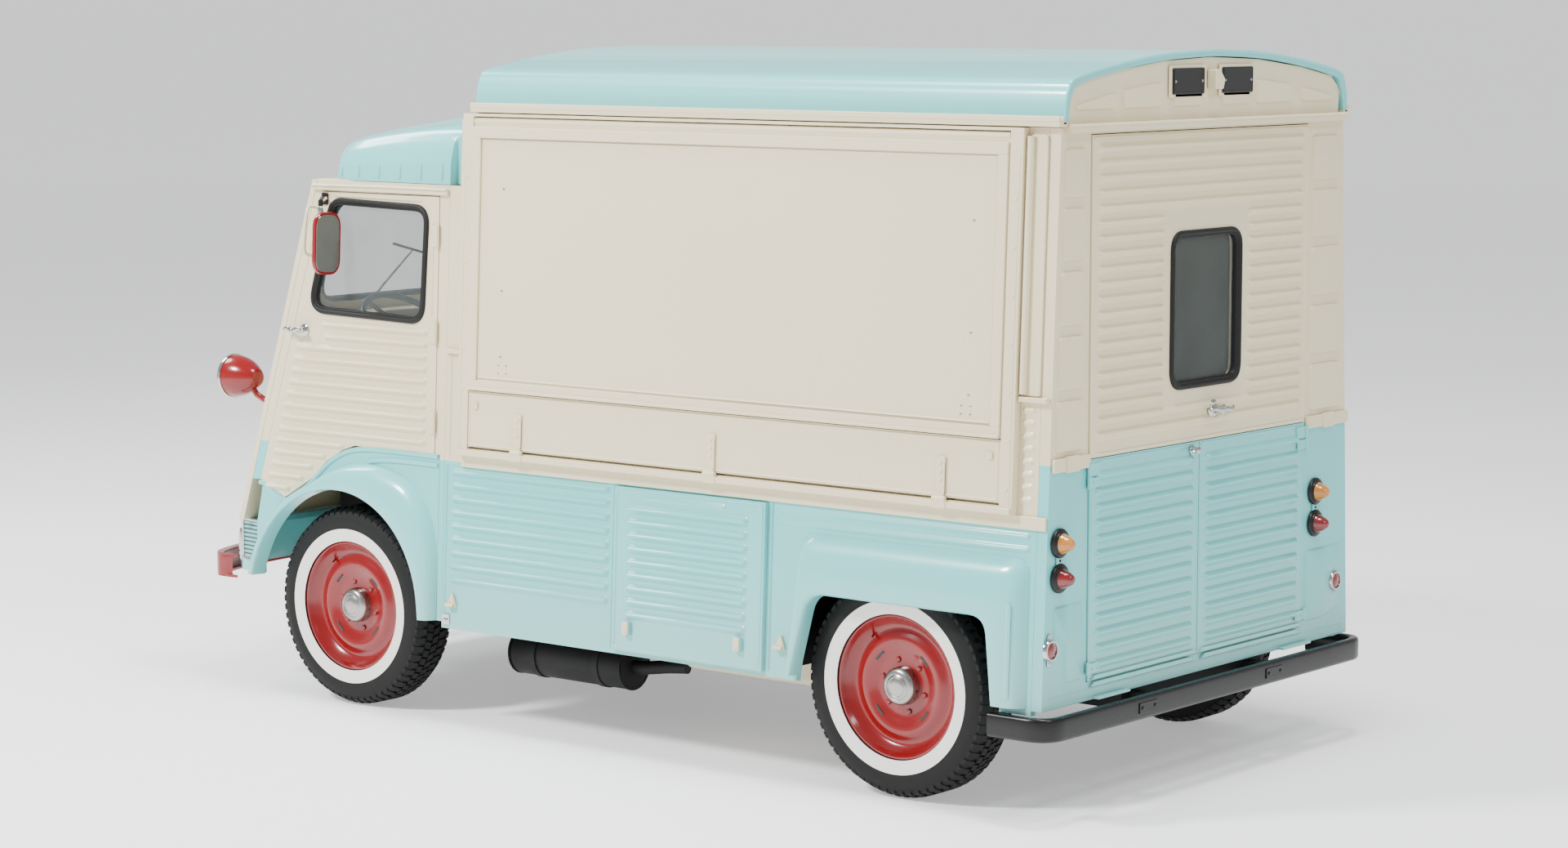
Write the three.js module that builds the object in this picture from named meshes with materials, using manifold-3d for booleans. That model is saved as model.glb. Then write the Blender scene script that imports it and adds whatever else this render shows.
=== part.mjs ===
// A corrugated step van with a raised box body, a serving hatch in its left side and a tailgate behind.
// Millimetres. +X is forward, +Y is the driver's side (left), +Z is up. The origin is on the ground,
// at the middle of the bounding box. Inside the truck group, x = 0 is the rear axle.
import * as THREE from "three";
import { mergeVertices } from "three/addons/utils/BufferGeometryUtils.js";
import Module from "manifold-3d";

const wasm = await Module();
wasm.setup();

// ---- Driving dimensions ----
const WHEELBASE = 2500;
const FRONT_END = 3370; // foremost point of the front bumper
const REAR_END = -668; // rearmost point of the rear bumper
const BODY_REAR = -607; // outer face of the rear frame
const BOX_FRONT = 1985; // front face of the bulkhead between box and cab
const BOX_ROOF_FRONT = 1872; // where the raised roof ends
const BODY_BOTTOM = 350; // lower edge of the side panels
const BODY_HALF_WIDTH = 931; // outer face of a side wall at its lower edge
const TUMBLEHOME = Math.atan(0.0449); // inward lean of the side walls
const WALL = 25; // thickness of a side wall, skin and stiffeners together
const RAIL_HEIGHT = 2173; // underside of the roof rail
const ROOF_EDGE = 2207; // top of the roof rail
const ROOF_CROWN = 2400; // top of the raised roof
const CAB_EAVES = 1918; // top of the cab's sides
const CAB_ROOF_TOP = 2196;
const BELT = 945; // top of the lower side panels
const FLOOR_TOP = 400;
const FLOOR_THICKNESS = 28;
const SHEET = 20; // thickness given to roof and nose panels
const GAP = 1; // between fixed pieces that touch
const JOINT_GAP = 3; // between a moving piece and its frame

const TYRE_RADIUS = 365;
const TYRE_WIDTH = 188;
const RIM_RADIUS = 236;
const BEAD_RADIUS = 222;
const TRACK = 1590; // between the middles of the tyres
const FLANGE_INNER = 70; // from the wheel's middle to the inside of a rim flange
const FLANGE_OUTER = 80;
const HUB_BORE = 24;
const STUB_RADIUS = 22;
const WHEEL_SIDES = 28;
const KINGPIN_Y = 640; // distance of a steering axis from the middle of the truck
const ARCH_RADIUS = 432; // front wheel opening
const FLARE_WIDTH = 36; // width of the flare round the front of a wheel opening
const FENDER_FLARE = 48; // how far a fender stands out from the side wall
const CAB_FLOOR_HALF_WIDTH = 500;
const WELL_REACH = 450; // half length of a rear wheel well
const WELL_INNER = 612; // inner face of a rear wheel well
const WELL_TOP = 748;

const HATCH_FRAME_REAR = -490;
const HATCH_FRAME_FRONT = 1897;
const HATCH_FRAME_BOTTOM = 972;
const HATCH_FRAME_TOP = 2170;
const HATCH_FRAME_BAR = 48;
const HATCH_FRAME_DEPTH = 32;
const HATCH_HINGE_HEIGHT = 2144;
const HATCH_BOTTOM = 1207;
const HATCH_THICKNESS = 24;
const FLAP_HEIGHT = 196;
const FLAP_HINGE_HEIGHT = 1003;
const HINGE_BARREL = 6; // radius of a strap hinge's barrel
const STRAP_PLACES = [1606, 730, -216]; // x of the three strap hinges

const ACCESS_REAR = 505;
const ACCESS_FRONT = 1165;
const ACCESS_BOTTOM = 366;
const ACCESS_TOP = 925;
const ACCESS_THICKNESS = 15;

const REAR_FRAME_DEPTH = 39;
const REAR_OPENING_LEFT = 687;
const REAR_OPENING_RIGHT = -617;
const REAR_OPENING_BOTTOM = 426;
const REAR_OPENING_TOP = 2149;
const TAILGATE_BOTTOM = 1136;
const DOOR_MEETING_LINE = 48; // y of the line between the two lower doors
const REAR_DOOR_THICKNESS = 34;
const REAR_DOOR_PROUD = 5;

const DOOR_REAR = 2036; // rear edge of a cab door
const DOOR_TOP = 1874;
const DOOR_THICKNESS = 28;
const PILLAR_WIDTH = 70; // windscreen pillar, measured along x
const SCREEN_BOTTOM = 1450;
const SCREEN_TOP = 1850;
const SCREEN_HALF_WIDTH = 740;
const GLASS = 5;
const FRONT_LEAN = 0.2845; // how much the cab's front comes forward for each unit it goes down
const FRONT_AT_EAVES = 2684; // x of the cab's front at the eaves
const APRON_TOP = 640;
const APRON_BOTTOM = 442;

const BUMPER_BOTTOM = 277;
const BUMPER_TOP = 352;
const BUMPER_HALF_WIDTH = 980;
const BUMPER_THICKNESS = 34;

const STEERING_WHEEL_RADIUS = 195;
const STEERING_WHEEL_CENTRE = [2600, 450, 1345];
const STEERING_LEAN = 0.66; // radians between the column and the vertical

// ---- Colours ----
const PAINTS = {
  cream: { color: 0xdbd6c4, roughness: 0.45, metalness: 0.0 },
  turquoise: { color: 0xa0cccd, roughness: 0.25, metalness: 0.0 },
  red: { color: 0x86161a, roughness: 0.2, metalness: 0.1 },
  black: { color: 0x1c1c1c, roughness: 0.5, metalness: 0.1 },
  rubber: { color: 0x1d1d1d, roughness: 0.8, metalness: 0.0 },
  chrome: { color: 0xc9c9c9, roughness: 0.15, metalness: 1.0 },
  steel: { color: 0x9a9a98, roughness: 0.4, metalness: 0.9 },
  glass: { color: 0xd8e0e0, roughness: 0.05, metalness: 0.0 },
  amber: { color: 0xd28a2a, roughness: 0.2, metalness: 0.0 },
  vinyl: { color: 0x3a2f2a, roughness: 0.6, metalness: 0.0 },
};

// ---- Shape helpers ----
const wallY = (z) => BODY_HALF_WIDTH - (z - BODY_BOTTOM) * Math.tan(TUMBLEHOME);
const up = (z) => (z - BODY_BOTTOM) / Math.cos(TUMBLEHOME); // height along a leaning side wall
const frontX = (z) => FRONT_AT_EAVES + (1922 - z) * FRONT_LEAN;

function solidOf(geometry) {
  const bare = geometry.index ? geometry.toNonIndexed() : geometry.clone();
  bare.deleteAttribute("normal");
  bare.deleteAttribute("uv");
  const merged = mergeVertices(bare, 1e-3);
  const vertProperties = new Float32Array(merged.attributes.position.array);
  const triVerts = new Uint32Array(merged.index.array);
  return new wasm.Manifold(new wasm.Mesh({ numProp: 3, vertProperties, triVerts }));
}

function geometryOf(solid) {
  const mesh = solid.getMesh();
  const geometry = new THREE.BufferGeometry();
  geometry.setAttribute("position", new THREE.BufferAttribute(mesh.vertProperties, 3));
  geometry.setIndex(new THREE.BufferAttribute(mesh.triVerts, 1));
  const flat = geometry.toNonIndexed();
  flat.computeVertexNormals();
  return flat;
}

const join = (...solids) => solids.reduce((sum, solid) => sum.add(solid));
const cut = (solid, ...tools) => tools.reduce((rest, tool) => rest.subtract(tool), solid);

function box([x0, x1], [y0, y1], [z0, z1]) {
  const geometry = new THREE.BoxGeometry(x1 - x0, y1 - y0, z1 - z0);
  geometry.translate((x0 + x1) / 2, (y0 + y1) / 2, (z0 + z1) / 2);
  return solidOf(geometry);
}

// A closed outline through points, with corners rounded where a radius is given.
function outline(points, radius = 0, target = new THREE.Shape()) {
  const at = points.map(([x, y]) => new THREE.Vector2(x, y));
  at.forEach((corner, i) => {
    const before = at[(i + at.length - 1) % at.length];
    const after = at[(i + 1) % at.length];
    const r = Math.min(radius, corner.distanceTo(before) / 2.2, corner.distanceTo(after) / 2.2);
    const start = corner.clone().lerp(before, r / corner.distanceTo(before));
    const end = corner.clone().lerp(after, r / corner.distanceTo(after));
    if (i === 0) target.moveTo(start.x, start.y);
    else target.lineTo(start.x, start.y);
    if (r > 0) target.quadraticCurveTo(corner.x, corner.y, end.x, end.y);
  });
  target.closePath();
  return target;
}

const rectangle = ([x0, x1], [y0, y1]) => [[x0, y0], [x1, y0], [x1, y1], [x0, y1]];

const AXES = {
  x: [new THREE.Vector3(0, 1, 0), new THREE.Vector3(0, 0, 1), new THREE.Vector3(1, 0, 0)],
  y: [new THREE.Vector3(1, 0, 0), new THREE.Vector3(0, 0, 1), new THREE.Vector3(0, -1, 0)],
  z: [new THREE.Vector3(1, 0, 0), new THREE.Vector3(0, 1, 0), new THREE.Vector3(0, 0, 1)],
};

// A plate of the given outline, from one place to another along an axis.
function plate(shape, axis, from, to, curveSegments = 3) {
  const settings = { depth: to - from, bevelEnabled: false, curveSegments };
  const geometry = new THREE.ExtrudeGeometry(shape, settings);
  geometry.applyMatrix4(new THREE.Matrix4().makeBasis(...AXES[axis]));
  const shift = axis === "y" ? to : from;
  geometry.translate(axis === "x" ? shift : 0, axis === "y" ? shift : 0, axis === "z" ? shift : 0);
  return solidOf(geometry);
}

// A round bar between two points.
function bar(start, end, radius, sides = 10) {
  const a = new THREE.Vector3(...start);
  const b = new THREE.Vector3(...end);
  const geometry = new THREE.CylinderGeometry(radius, radius, a.distanceTo(b), sides);
  const turn = new THREE.Quaternion().setFromUnitVectors(
    new THREE.Vector3(0, 1, 0),
    b.clone().sub(a).normalize(),
  );
  geometry.applyQuaternion(turn);
  const middle = a.clone().add(b).multiplyScalar(0.5);
  geometry.translate(middle.x, middle.y, middle.z);
  return solidOf(geometry);
}

// A solid of revolution about an axis parallel to Y; profile points are [radius, distance outwards].
function turned(profile, centre, sides, phase = 0) {
  const points = profile.map(([r, d]) => new THREE.Vector2(r, d));
  const geometry = new THREE.LatheGeometry(points, sides, phase);
  geometry.translate(...centre);
  const solid = solidOf(geometry);
  if (solid.volume() > 0) return solid;
  const flipped = new THREE.LatheGeometry(points.slice().reverse(), sides, phase);
  flipped.translate(...centre);
  return solidOf(flipped);
}

function node(name, paint, solid, place) {
  const material = new THREE.MeshStandardMaterial(PAINTS[paint]);
  const mesh = new THREE.Mesh(geometryOf(solid), material);
  mesh.name = name;
  place.add(mesh);
  return mesh;
}

// ---- Groups: the truck, and a leaning frame for each side ----
const assembly = new THREE.Group();
const truck = new THREE.Group();
truck.position.x = -(FRONT_END + REAR_END) / 2;
assembly.add(truck);

function sideFrame(mirror) {
  const half = new THREE.Group();
  half.scale.y = mirror;
  truck.add(half);
  const lean = new THREE.Group();
  lean.position.set(0, BODY_HALF_WIDTH, BODY_BOTTOM);
  lean.rotation.x = TUMBLEHOME;
  half.add(lean);
  return { half, lean };
}

const SIDES = { left: sideFrame(1), right: sideFrame(-1) };

// Points given as [x, height above the ground], set on a leaning wall.
const onWall = (points) => points.map(([x, z]) => [x, up(z)]);

// ---- Box body ----
const REAR_ARCH = [[-452, 300], [-432, 560], [-398, 648], [290, 648], [345, 560], [375, 300]];

function boxWall(openings) {
  const wallRear = BODY_REAR + REAR_FRAME_DEPTH + GAP;
  const shape = outline(onWall([
    [wallRear, BODY_BOTTOM],
    [BOX_FRONT, BODY_BOTTOM],
    [BOX_FRONT, CAB_EAVES - 2],
    [BOX_ROOF_FRONT, CAB_EAVES - 2],
    [BOX_ROOF_FRONT, RAIL_HEIGHT - GAP],
    [wallRear, RAIL_HEIGHT - GAP],
  ]));
  const wall = plate(shape, "y", -WALL, 0);
  const arch = plate(outline(onWall(REAR_ARCH), 60), "y", -2 * WALL, WALL);
  const holes = openings.map((points) => plate(outline(onWall(points)), "y", -2 * WALL, WALL));
  return cut(wall, arch, ...holes);
}

const HATCH_OPENING = rectangle([-400, 1806], [1012, 2118]);
const ACCESS_OPENING = rectangle(
  [ACCESS_REAR + 35, ACCESS_FRONT - 35],
  [ACCESS_BOTTOM + 34, ACCESS_TOP - 35],
);

// Half of the raised roof's cross-section, from the rail to the crown, moved in by an inset.
function roofHalf(inset) {
  const flat = wallY(ROOF_EDGE) - 2 - inset;
  const crown = (y) => ROOF_CROWN - inset - 1.25e-4 * y * y;
  return [
    [flat, ROOF_EDGE - 40],
    [flat - 6, 2252],
    [flat - 22, crown(flat - 22) - 24],
    [flat - 62, crown(flat - 62)],
    [560, crown(560)],
    [290, crown(290)],
    [0, crown(0)],
  ];
}

const mirrored = (half) => [...half, ...half.slice(0, -1).reverse().map(([y, z]) => [-y, z])];

// The roof's side outline, with its front edge rounded.
function roofSide(inset, rear) {
  return [
    [rear, ROOF_EDGE - 60],
    [BOX_ROOF_FRONT - inset, ROOF_EDGE - 60],
    [BOX_ROOF_FRONT - inset, 2350 - inset],
    [BOX_ROOF_FRONT - 14 - inset, 2382 - inset],
    [BOX_ROOF_FRONT - 44 - inset, 2400 - inset],
    [BOX_ROOF_FRONT - 96 - inset, ROOF_CROWN + 10 - inset],
    [rear, ROOF_CROWN + 10 - inset],
  ];
}

function roofBlock(inset, rear) {
  const across = plate(outline(mirrored(roofHalf(inset))), "x", rear, BOX_ROOF_FRONT);
  const along = plate(outline(roofSide(inset, rear)), "y", -1000, 1000);
  return across.intersect(along);
}

const ROOF_OVERHANG = 13;

function boxRoof() {
  const shell = cut(roofBlock(0, BODY_REAR - ROOF_OVERHANG), roofBlock(SHEET, BODY_REAR - 100));
  const below = box([-2000, 4000], [-1200, 1200], [1000, RAIL_HEIGHT]);
  const edge = wallY(RAIL_HEIGHT);
  const rail = (side) => box(
    [BODY_REAR - ROOF_OVERHANG, BOX_ROOF_FRONT],
    side > 0 ? [edge - WALL, edge + 28] : [-edge - 28, -edge + WALL],
    [RAIL_HEIGHT, ROOF_EDGE],
  );
  const closures = [1, -1].map((side) => {
    const reach = edge - WALL - 6;
    const width = side > 0 ? [540, reach] : [-reach, -540];
    return box([BOX_ROOF_FRONT - SHEET, BOX_ROOF_FRONT - 2], width, [1962, RAIL_HEIGHT + 12]);
  });
  return join(cut(shell, below), rail(1), rail(-1), ...closures);
}

function rearFrame() {
  const side = [BODY_BOTTOM + 16, RAIL_HEIGHT - GAP].map((z) => [wallY(z), z]);
  const inner = roofHalf(SHEET + GAP).slice(1);
  const shoulder = [inner[0][0] - 8, RAIL_HEIGHT - GAP];
  const points = mirrored([...side, shoulder, ...inner]);
  const opening = rectangle(
    [REAR_OPENING_RIGHT, REAR_OPENING_LEFT],
    [REAR_OPENING_BOTTOM, REAR_OPENING_TOP],
  );
  const frame = cut(
    plate(outline(points), "x", BODY_REAR, BODY_REAR + REAR_FRAME_DEPTH),
    plate(outline(opening), "x", BODY_REAR - 50, BODY_REAR + 100),
  );
  const reach = wallY(2165) - 20;
  const rail = box([BODY_REAR - 30, BODY_REAR + 5], [-reach, reach], [2156, RAIL_HEIGHT - GAP]);
  return join(frame, rail);
}

function bulkhead() {
  const inside = (z) => wallY(z) - WALL - 2;
  const sides = [[inside(FLOOR_TOP + 3), FLOOR_TOP + 2], [inside(1890), 1890]];
  const points = [...sides, ...sides.slice().reverse().map(([y, z]) => [-y, z])];
  const passage = rectangle([-330, 330], [FLOOR_TOP + 60, 1840]);
  const front = BOX_FRONT - 4;
  return cut(
    plate(outline(points), "x", front - 22, front),
    plate(outline(passage, 60), "x", front - 80, front + 80),
  );
}

function chassisFrame() {
  const floorRear = BODY_REAR + REAR_FRAME_DEPTH + 2;
  const floorHalf = wallY(FLOOR_TOP) - WALL - 4;
  const floorUnder = FLOOR_TOP - FLOOR_THICKNESS;
  const floor = box([floorRear, BOX_FRONT - 2], [-floorHalf, floorHalf], [floorUnder, FLOOR_TOP]);
  const wells = [1, -1].map((side) => box(
    [-WELL_REACH, WELL_REACH],
    side > 0 ? [WELL_INNER, 1000] : [-1000, -WELL_INNER],
    [200, 600],
  ));
  const wellOuter = wallY(WELL_TOP) - WALL - 4;
  const wellCovers = [1, -1].map((side) => {
    const width = side > 0 ? [WELL_INNER - 12, wellOuter] : [-wellOuter, -WELL_INNER + 12];
    const inside = side > 0 ? [WELL_INNER, 1200] : [-1200, -WELL_INNER];
    return cut(
      box([-WELL_REACH - 12, WELL_REACH + 12], width, [FLOOR_TOP - 10, WELL_TOP + 12]),
      box([-WELL_REACH, WELL_REACH], inside, [200, WELL_TOP]),
    );
  });
  const rail = (y) => box([floorRear, 2980], [y - 40, y + 40], [290, FLOOR_TOP - FLOOR_THICKNESS + 4]);
  const crossBars = [-540, 700, 1500, 2940].map((x) => (
    box([x - 25, x + 25], [-420, 420], [295, FLOOR_TOP - FLOOR_THICKNESS + 2])
  ));
  const rearAxle = bar([0, -600, TYRE_RADIUS], [0, 600, TYRE_RADIUS], 34, 10);
  const rearArms = [1, -1].map((side) => (
    join(
      box([-45, 45], side > 0 ? [560, 640] : [-640, -560], [TYRE_RADIUS - 55, FLOOR_TOP - 4]),
      bar([0, side * 600, TYRE_RADIUS], [0, side * (TRACK / 2 - 30), TYRE_RADIUS], STUB_RADIUS, 12),
    )
  ));
  const forks = [1, -1].map((side) => {
    const y = side > 0 ? [370, KINGPIN_Y + 30] : [-KINGPIN_Y - 30, -370];
    return join(
      box([WHEELBASE - 32, WHEELBASE + 32], y, [242, 268]),
      box([WHEELBASE - 32, WHEELBASE + 32], y, [TYRE_RADIUS + 97, TYRE_RADIUS + 120]),
      box([WHEELBASE - 32, WHEELBASE + 32], side > 0 ? [340, 400] : [-400, -340], [242, TYRE_RADIUS + 120]),
    );
  });
  const bumperBrackets = [350, -350].map((y) => (
    box([REAR_END + BUMPER_THICKNESS + GAP, floorRear + 60], [y - 25, y + 25], [292, 344])
  ));
  const jackPads = [1, -1].map((side) => (
    box([1720, 1820], side > 0 ? [700, 780] : [-780, -700], [330, FLOOR_TOP - 10])
  ));
  return join(
    cut(floor, ...wells),
    ...wellCovers,
    rail(370),
    rail(-370),
    ...crossBars,
    rearAxle,
    ...rearArms,
    ...forks,
    ...bumperBrackets,
    ...jackPads,
  );
}

// ---- Cab ----
function cabFloor() {
  const from = BOX_FRONT + 2;
  const half = CAB_FLOOR_HALF_WIDTH;
  const floor = box([from, 2936], [-half, half], [FLOOR_TOP + 2, FLOOR_TOP + 22]);
  const wellTop = 838;
  const sides = [1, -1].map((side) => {
    const inner = side > 0 ? [half - 15, half] : [-half, -half + 15];
    const reach = wallY(wellTop) - WALL - 5;
    const top = side > 0 ? [half - 15, reach] : [-reach, -half + 15];
    return join(
      box([from, 2936], inner, [FLOOR_TOP + 2, wellTop + 14]),
      box([from, frontX(wellTop) - 110], top, [wellTop, wellTop + 14]),
    );
  });
  const seatBase = box([2070, 2480], [-half + 5, half - 5], [FLOOR_TOP + 10, 800]);
  const hollow = box([2090, 2460], [-half + 25, half - 25], [FLOOR_TOP - 50, 780]);
  const coverHalf = 190;
  const engineCover = box([2530, 2936], [-coverHalf, coverHalf], [FLOOR_TOP + 2, 908]);
  const engineRoom = box([2545, 3000], [-coverHalf + 15, coverHalf - 15], [FLOOR_TOP - 50, 893]);
  const armSlots = [1, -1].map((side) => box(
    [WHEELBASE - 45, WHEELBASE + 45],
    side > 0 ? [325, half + 60] : [-half - 60, -325],
    [FLOOR_TOP - 50, TYRE_RADIUS + 135],
  ));
  return cut(
    join(
      floor,
      ...sides,
      cut(seatBase, hollow, box([2400, 2600], [-half + 60, half - 60], [460, 740])),
      engineCover,
    ),
    engineRoom,
    ...armSlots,
  );
}

function cabFront() {
  const skin = [
    [frontX(APRON_TOP + 2), APRON_TOP + 2],
    [frontX(CAB_EAVES - 2), CAB_EAVES - 2],
    [frontX(CAB_EAVES - 2) - WALL, CAB_EAVES - 2],
    [frontX(APRON_TOP + 2) - WALL, APRON_TOP + 2],
  ];
  const lean = [APRON_TOP, CAB_EAVES].map((z) => [wallY(z) - 2, z]);
  const width = [...lean, ...lean.slice().reverse().map(([y, z]) => [-y, z])];
  const screen = rectangle([-SCREEN_HALF_WIDTH, SCREEN_HALF_WIDTH], [SCREEN_BOTTOM, SCREEN_TOP]);
  const grille = rectangle([-250, 250], [700, 1230]);
  const wall = cut(
    plate(outline(skin), "y", -1000, 1000).intersect(plate(outline(width), "x", 2000, 3400)),
    plate(outline(screen, 90), "x", 2000, 3400),
    plate(outline(grille, 40), "x", 2000, 3400),
  );
  const shelfFront = frontX(1415) - 92;
  const shelf = plate(outline([
    [frontX(1415) - WALL + 4, 1415],
    [shelfFront, 1405],
    [shelfFront + 8, 1256],
    [shelfFront + 22, 1256],
    [shelfFront + 20, 1388],
    [frontX(1392) - WALL + 4, 1394],
  ]), "y", -800, 800);
  const [x, y, z] = STEERING_WHEEL_CENTRE;
  const along = [-Math.sin(STEERING_LEAN), 0, Math.cos(STEERING_LEAN)];
  const point = (d) => [x + along[0] * d, y, z + along[2] * d];
  const column = bar(point(-14), point(-560), 19, 10);
  const bracket = box([shelfFront - 12, shelfFront + 16], [y - 14, y + 14], [1160, 1300]);
  const ledgeHalf = wallY(CAB_EAVES) - WALL - 4;
  const ledge = box(
    [2580, frontX(CAB_EAVES) - 4],
    [-ledgeHalf, ledgeHalf],
    [CAB_EAVES - 14, CAB_EAVES - 3],
  );
  return join(wall, shelf, column, bracket, ledge);
}

function doorFrame() {
  const left = BOX_FRONT + GAP;
  const outer = outline(onWall([
    [left, BODY_BOTTOM + 22],
    [left, CAB_EAVES - 2],
    [frontX(CAB_EAVES) - WALL - 4, CAB_EAVES - 2],
    [frontX(800) - WALL - 4, 800],
    [frontX(800) - PILLAR_WIDTH, 800],
    [frontX(DOOR_TOP) - PILLAR_WIDTH, DOOR_TOP + JOINT_GAP],
    [DOOR_REAR - JOINT_GAP, DOOR_TOP + JOINT_GAP],
    [DOOR_REAR - JOINT_GAP, 962],
    [left + 24, 962],
    [left + 24, BODY_BOTTOM + 22],
  ]));
  return plate(outer, "y", -WALL, 0);
}

const DOOR_OUTLINE = [
  [DOOR_REAR, 962],
  [DOOR_REAR, DOOR_TOP],
  [frontX(DOOR_TOP) - PILLAR_WIDTH - JOINT_GAP - 1, DOOR_TOP],
  [frontX(802) - PILLAR_WIDTH - JOINT_GAP, 802],
  [2800, 744],
  [2728, 786],
  [2655, 828],
  [2584, 894],
  [2500, 942],
  [2440, 962],
];
const DOOR_WINDOW = [[2110, 1430], [2095, 1830], [2574, 1842], [2678, 1444]];
const MIRROR_PIVOT = [2560, 76, 1812]; // x, distance out from the side wall, height

function cabDoor() {
  const body = cut(
    plate(outline(onWall(DOOR_OUTLINE)), "y", -DOOR_THICKNESS + 2, 2),
    plate(outline(onWall(DOOR_WINDOW), 60), "y", -60, 60),
  );
  const [x, y, z] = MIRROR_PIVOT;
  const foot = [2612, -4, up(z + 40)];
  const arm = bar(foot, [x, y, up(z + 28)], 7, 8);
  const drop = bar([x, y, up(z + 30)], [x, y, up(z + 10)], 7, 8);
  const barrels = [1040, 1358, 1700].map((h) => (
    join(
      bar([DOOR_REAR - 1, 9, up(h)], [DOOR_REAR - 1, 9, up(h + 70)], 6, 8),
      box([DOOR_REAR + 1, DOOR_REAR + 30], [0, 8], [up(h), up(h + 70)]),
    )
  ));
  return join(body, arm, drop, ...barrels);
}

function doorGlass() {
  const inset = DOOR_WINDOW.map(([x, z]) => {
    const toMiddle = [2350 - x, 1636 - z];
    const length = Math.hypot(...toMiddle);
    return [x + (toMiddle[0] / length) * 3, z + (toMiddle[1] / length) * 3];
  });
  return plate(outline(onWall(inset), 60), "y", -14, -14 + GLASS);
}

function cabHandle() {
  const x = 2706;
  const v = up(1366);
  const stem = bar([x, 4, v], [x, 36, v], 9, 10);
  const lever = box([x - 22, x + 84], [30, 44], [v - 9, v + 7]);
  return join(stem, lever);
}

function mirror() {
  const [x, y, z] = MIRROR_PIVOT;
  const shape = rectangle([-66, 66], [-118, 110]);
  const shell = plate(outline(shape, 56), "x", -12, 14, 3);
  const lug = join(
    box([2, 42], [-12, 4], [98, 106]),
    bar([34, -4, 100], [34, -4, 126], 9, 8),
  );
  const solid = geometryOf(join(shell, lug));
  solid.translate(x - 34, y + 4, up(z - 118));
  return solidOf(solid);
}

function cabRoofBlock(inset) {
  const half = (z) => wallY(z) - inset;
  const across = [
    [half(1860), 1860],
    [half(CAB_EAVES) - 2, CAB_EAVES],
    [half(2010) - 6, 2010],
    [half(2080) - 30, 2080 - inset * 0.4],
    [half(2130) - 90, 2130 - inset * 0.8],
    [500, 2168 - inset],
    [0, CAB_ROOF_TOP - inset],
  ];
  const along = [
    [BOX_ROOF_FRONT + 2 - (inset ? 100 : 0), 1850],
    [2828 - inset, 1850],
    [2818 - inset, 1922],
    [2786 - inset, 1968 - inset * 0.3],
    [2730 - inset, 2022 - inset * 0.6],
    [2650 - inset, 2072 - inset],
    [2530, 2118 - inset],
    [2360, 2154 - inset],
    [2120, 2190 - inset],
    [BOX_ROOF_FRONT + 2 - (inset ? 100 : 0), 2204 - inset],
  ];
  const plan = [
    [BOX_ROOF_FRONT - 200, 900 - inset],
    [2440, 874 - inset],
    [2540 - inset * 0.2, 852 - inset],
    [2616 - inset * 0.7, 806 - inset * 0.7],
    [2694 - inset, 696 - inset * 0.5],
    [2758 - inset, 520 - inset * 0.3],
    [2800 - inset, 290],
    [2830 - inset, 0],
  ];
  const otherSide = plan.slice(0, -1).reverse().map(([x, y]) => [x, -y]);
  return plate(outline(mirrored(across)), "x", BOX_ROOF_FRONT - 200, 2900)
    .intersect(plate(outline(along), "y", -1000, 1000))
    .intersect(plate(outline([...plan, ...otherSide]), "z", 1800, 2300));
}

function cabRoof() {
  const shell = cut(cabRoofBlock(0), cabRoofBlock(SHEET));
  const eaves = box([1000, 3000], [-1200, 1200], [1700, CAB_EAVES]);
  const rear = box([1000, BOX_ROOF_FRONT + 2], [-1200, 1200], [1700, 2400]);
  return cut(shell, eaves, rear);
}

function windscreen() {
  const z0 = SCREEN_BOTTOM + 4;
  const z1 = SCREEN_TOP - 4;
  const sheet = plate(outline([
    [frontX(z0) - 10, z0],
    [frontX(z1) - 10, z1],
    [frontX(z1) - 10 - GLASS, z1],
    [frontX(z0) - 10 - GLASS, z0],
  ]), "y", -1000, 1000);
  const shape = rectangle([-SCREEN_HALF_WIDTH + 4, SCREEN_HALF_WIDTH - 4], [z0 - 1, z1 + 1]);
  return sheet.intersect(plate(outline(shape, 88), "x", 2000, 3400));
}

function frontApron() {
  const plan = (inset) => {
    const side = [
      [frontX(APRON_TOP) - 95, 888 - inset],
      [3085 - inset, 868 - inset],
      [3168 - inset, 800 - inset],
      [3205 - inset, 640],
      [3225 - inset, 330],
    ];
    return [...side, ...side.slice().reverse().map(([x, y]) => [x, -y])];
  };
  const shell = cut(
    plate(outline(plan(0)), "z", APRON_BOTTOM, APRON_TOP),
    plate(outline(plan(SHEET)), "z", APRON_BOTTOM - 50, APRON_TOP - SHEET),
    box([2900, 2985], [-860, 860], [300, 700]),
  );
  return shell;
}

function bonnet() {
  const profile = (inset) => [
    [frontX(1282) + 4 - inset * 3, 1282 - inset],
    [3105 - inset, 1222 - inset],
    [3225 - inset, 1100 - inset],
    [3290 - inset, 700 - inset * 3],
    [frontX(700) + 4 - inset * 3, 700 - inset * 3],
  ];
  const half = 300;
  const block = plate(outline(profile(0)), "y", -half, half);
  const hollow = plate(outline(profile(SHEET)), "y", -half + SHEET, half - SHEET);
  return cut(block, hollow);
}

const BONNET_HINGE = [frontX(1282) + 14, 1288];

// ---- Fenders and bumpers ----
function arc(centreX, centreZ, radius, from, to, steps) {
  return Array.from({ length: steps + 1 }, (_, i) => {
    const a = from + ((to - from) * i) / steps;
    return [centreX + radius * Math.cos(a), centreZ + radius * Math.sin(a)];
  });
}

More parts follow.
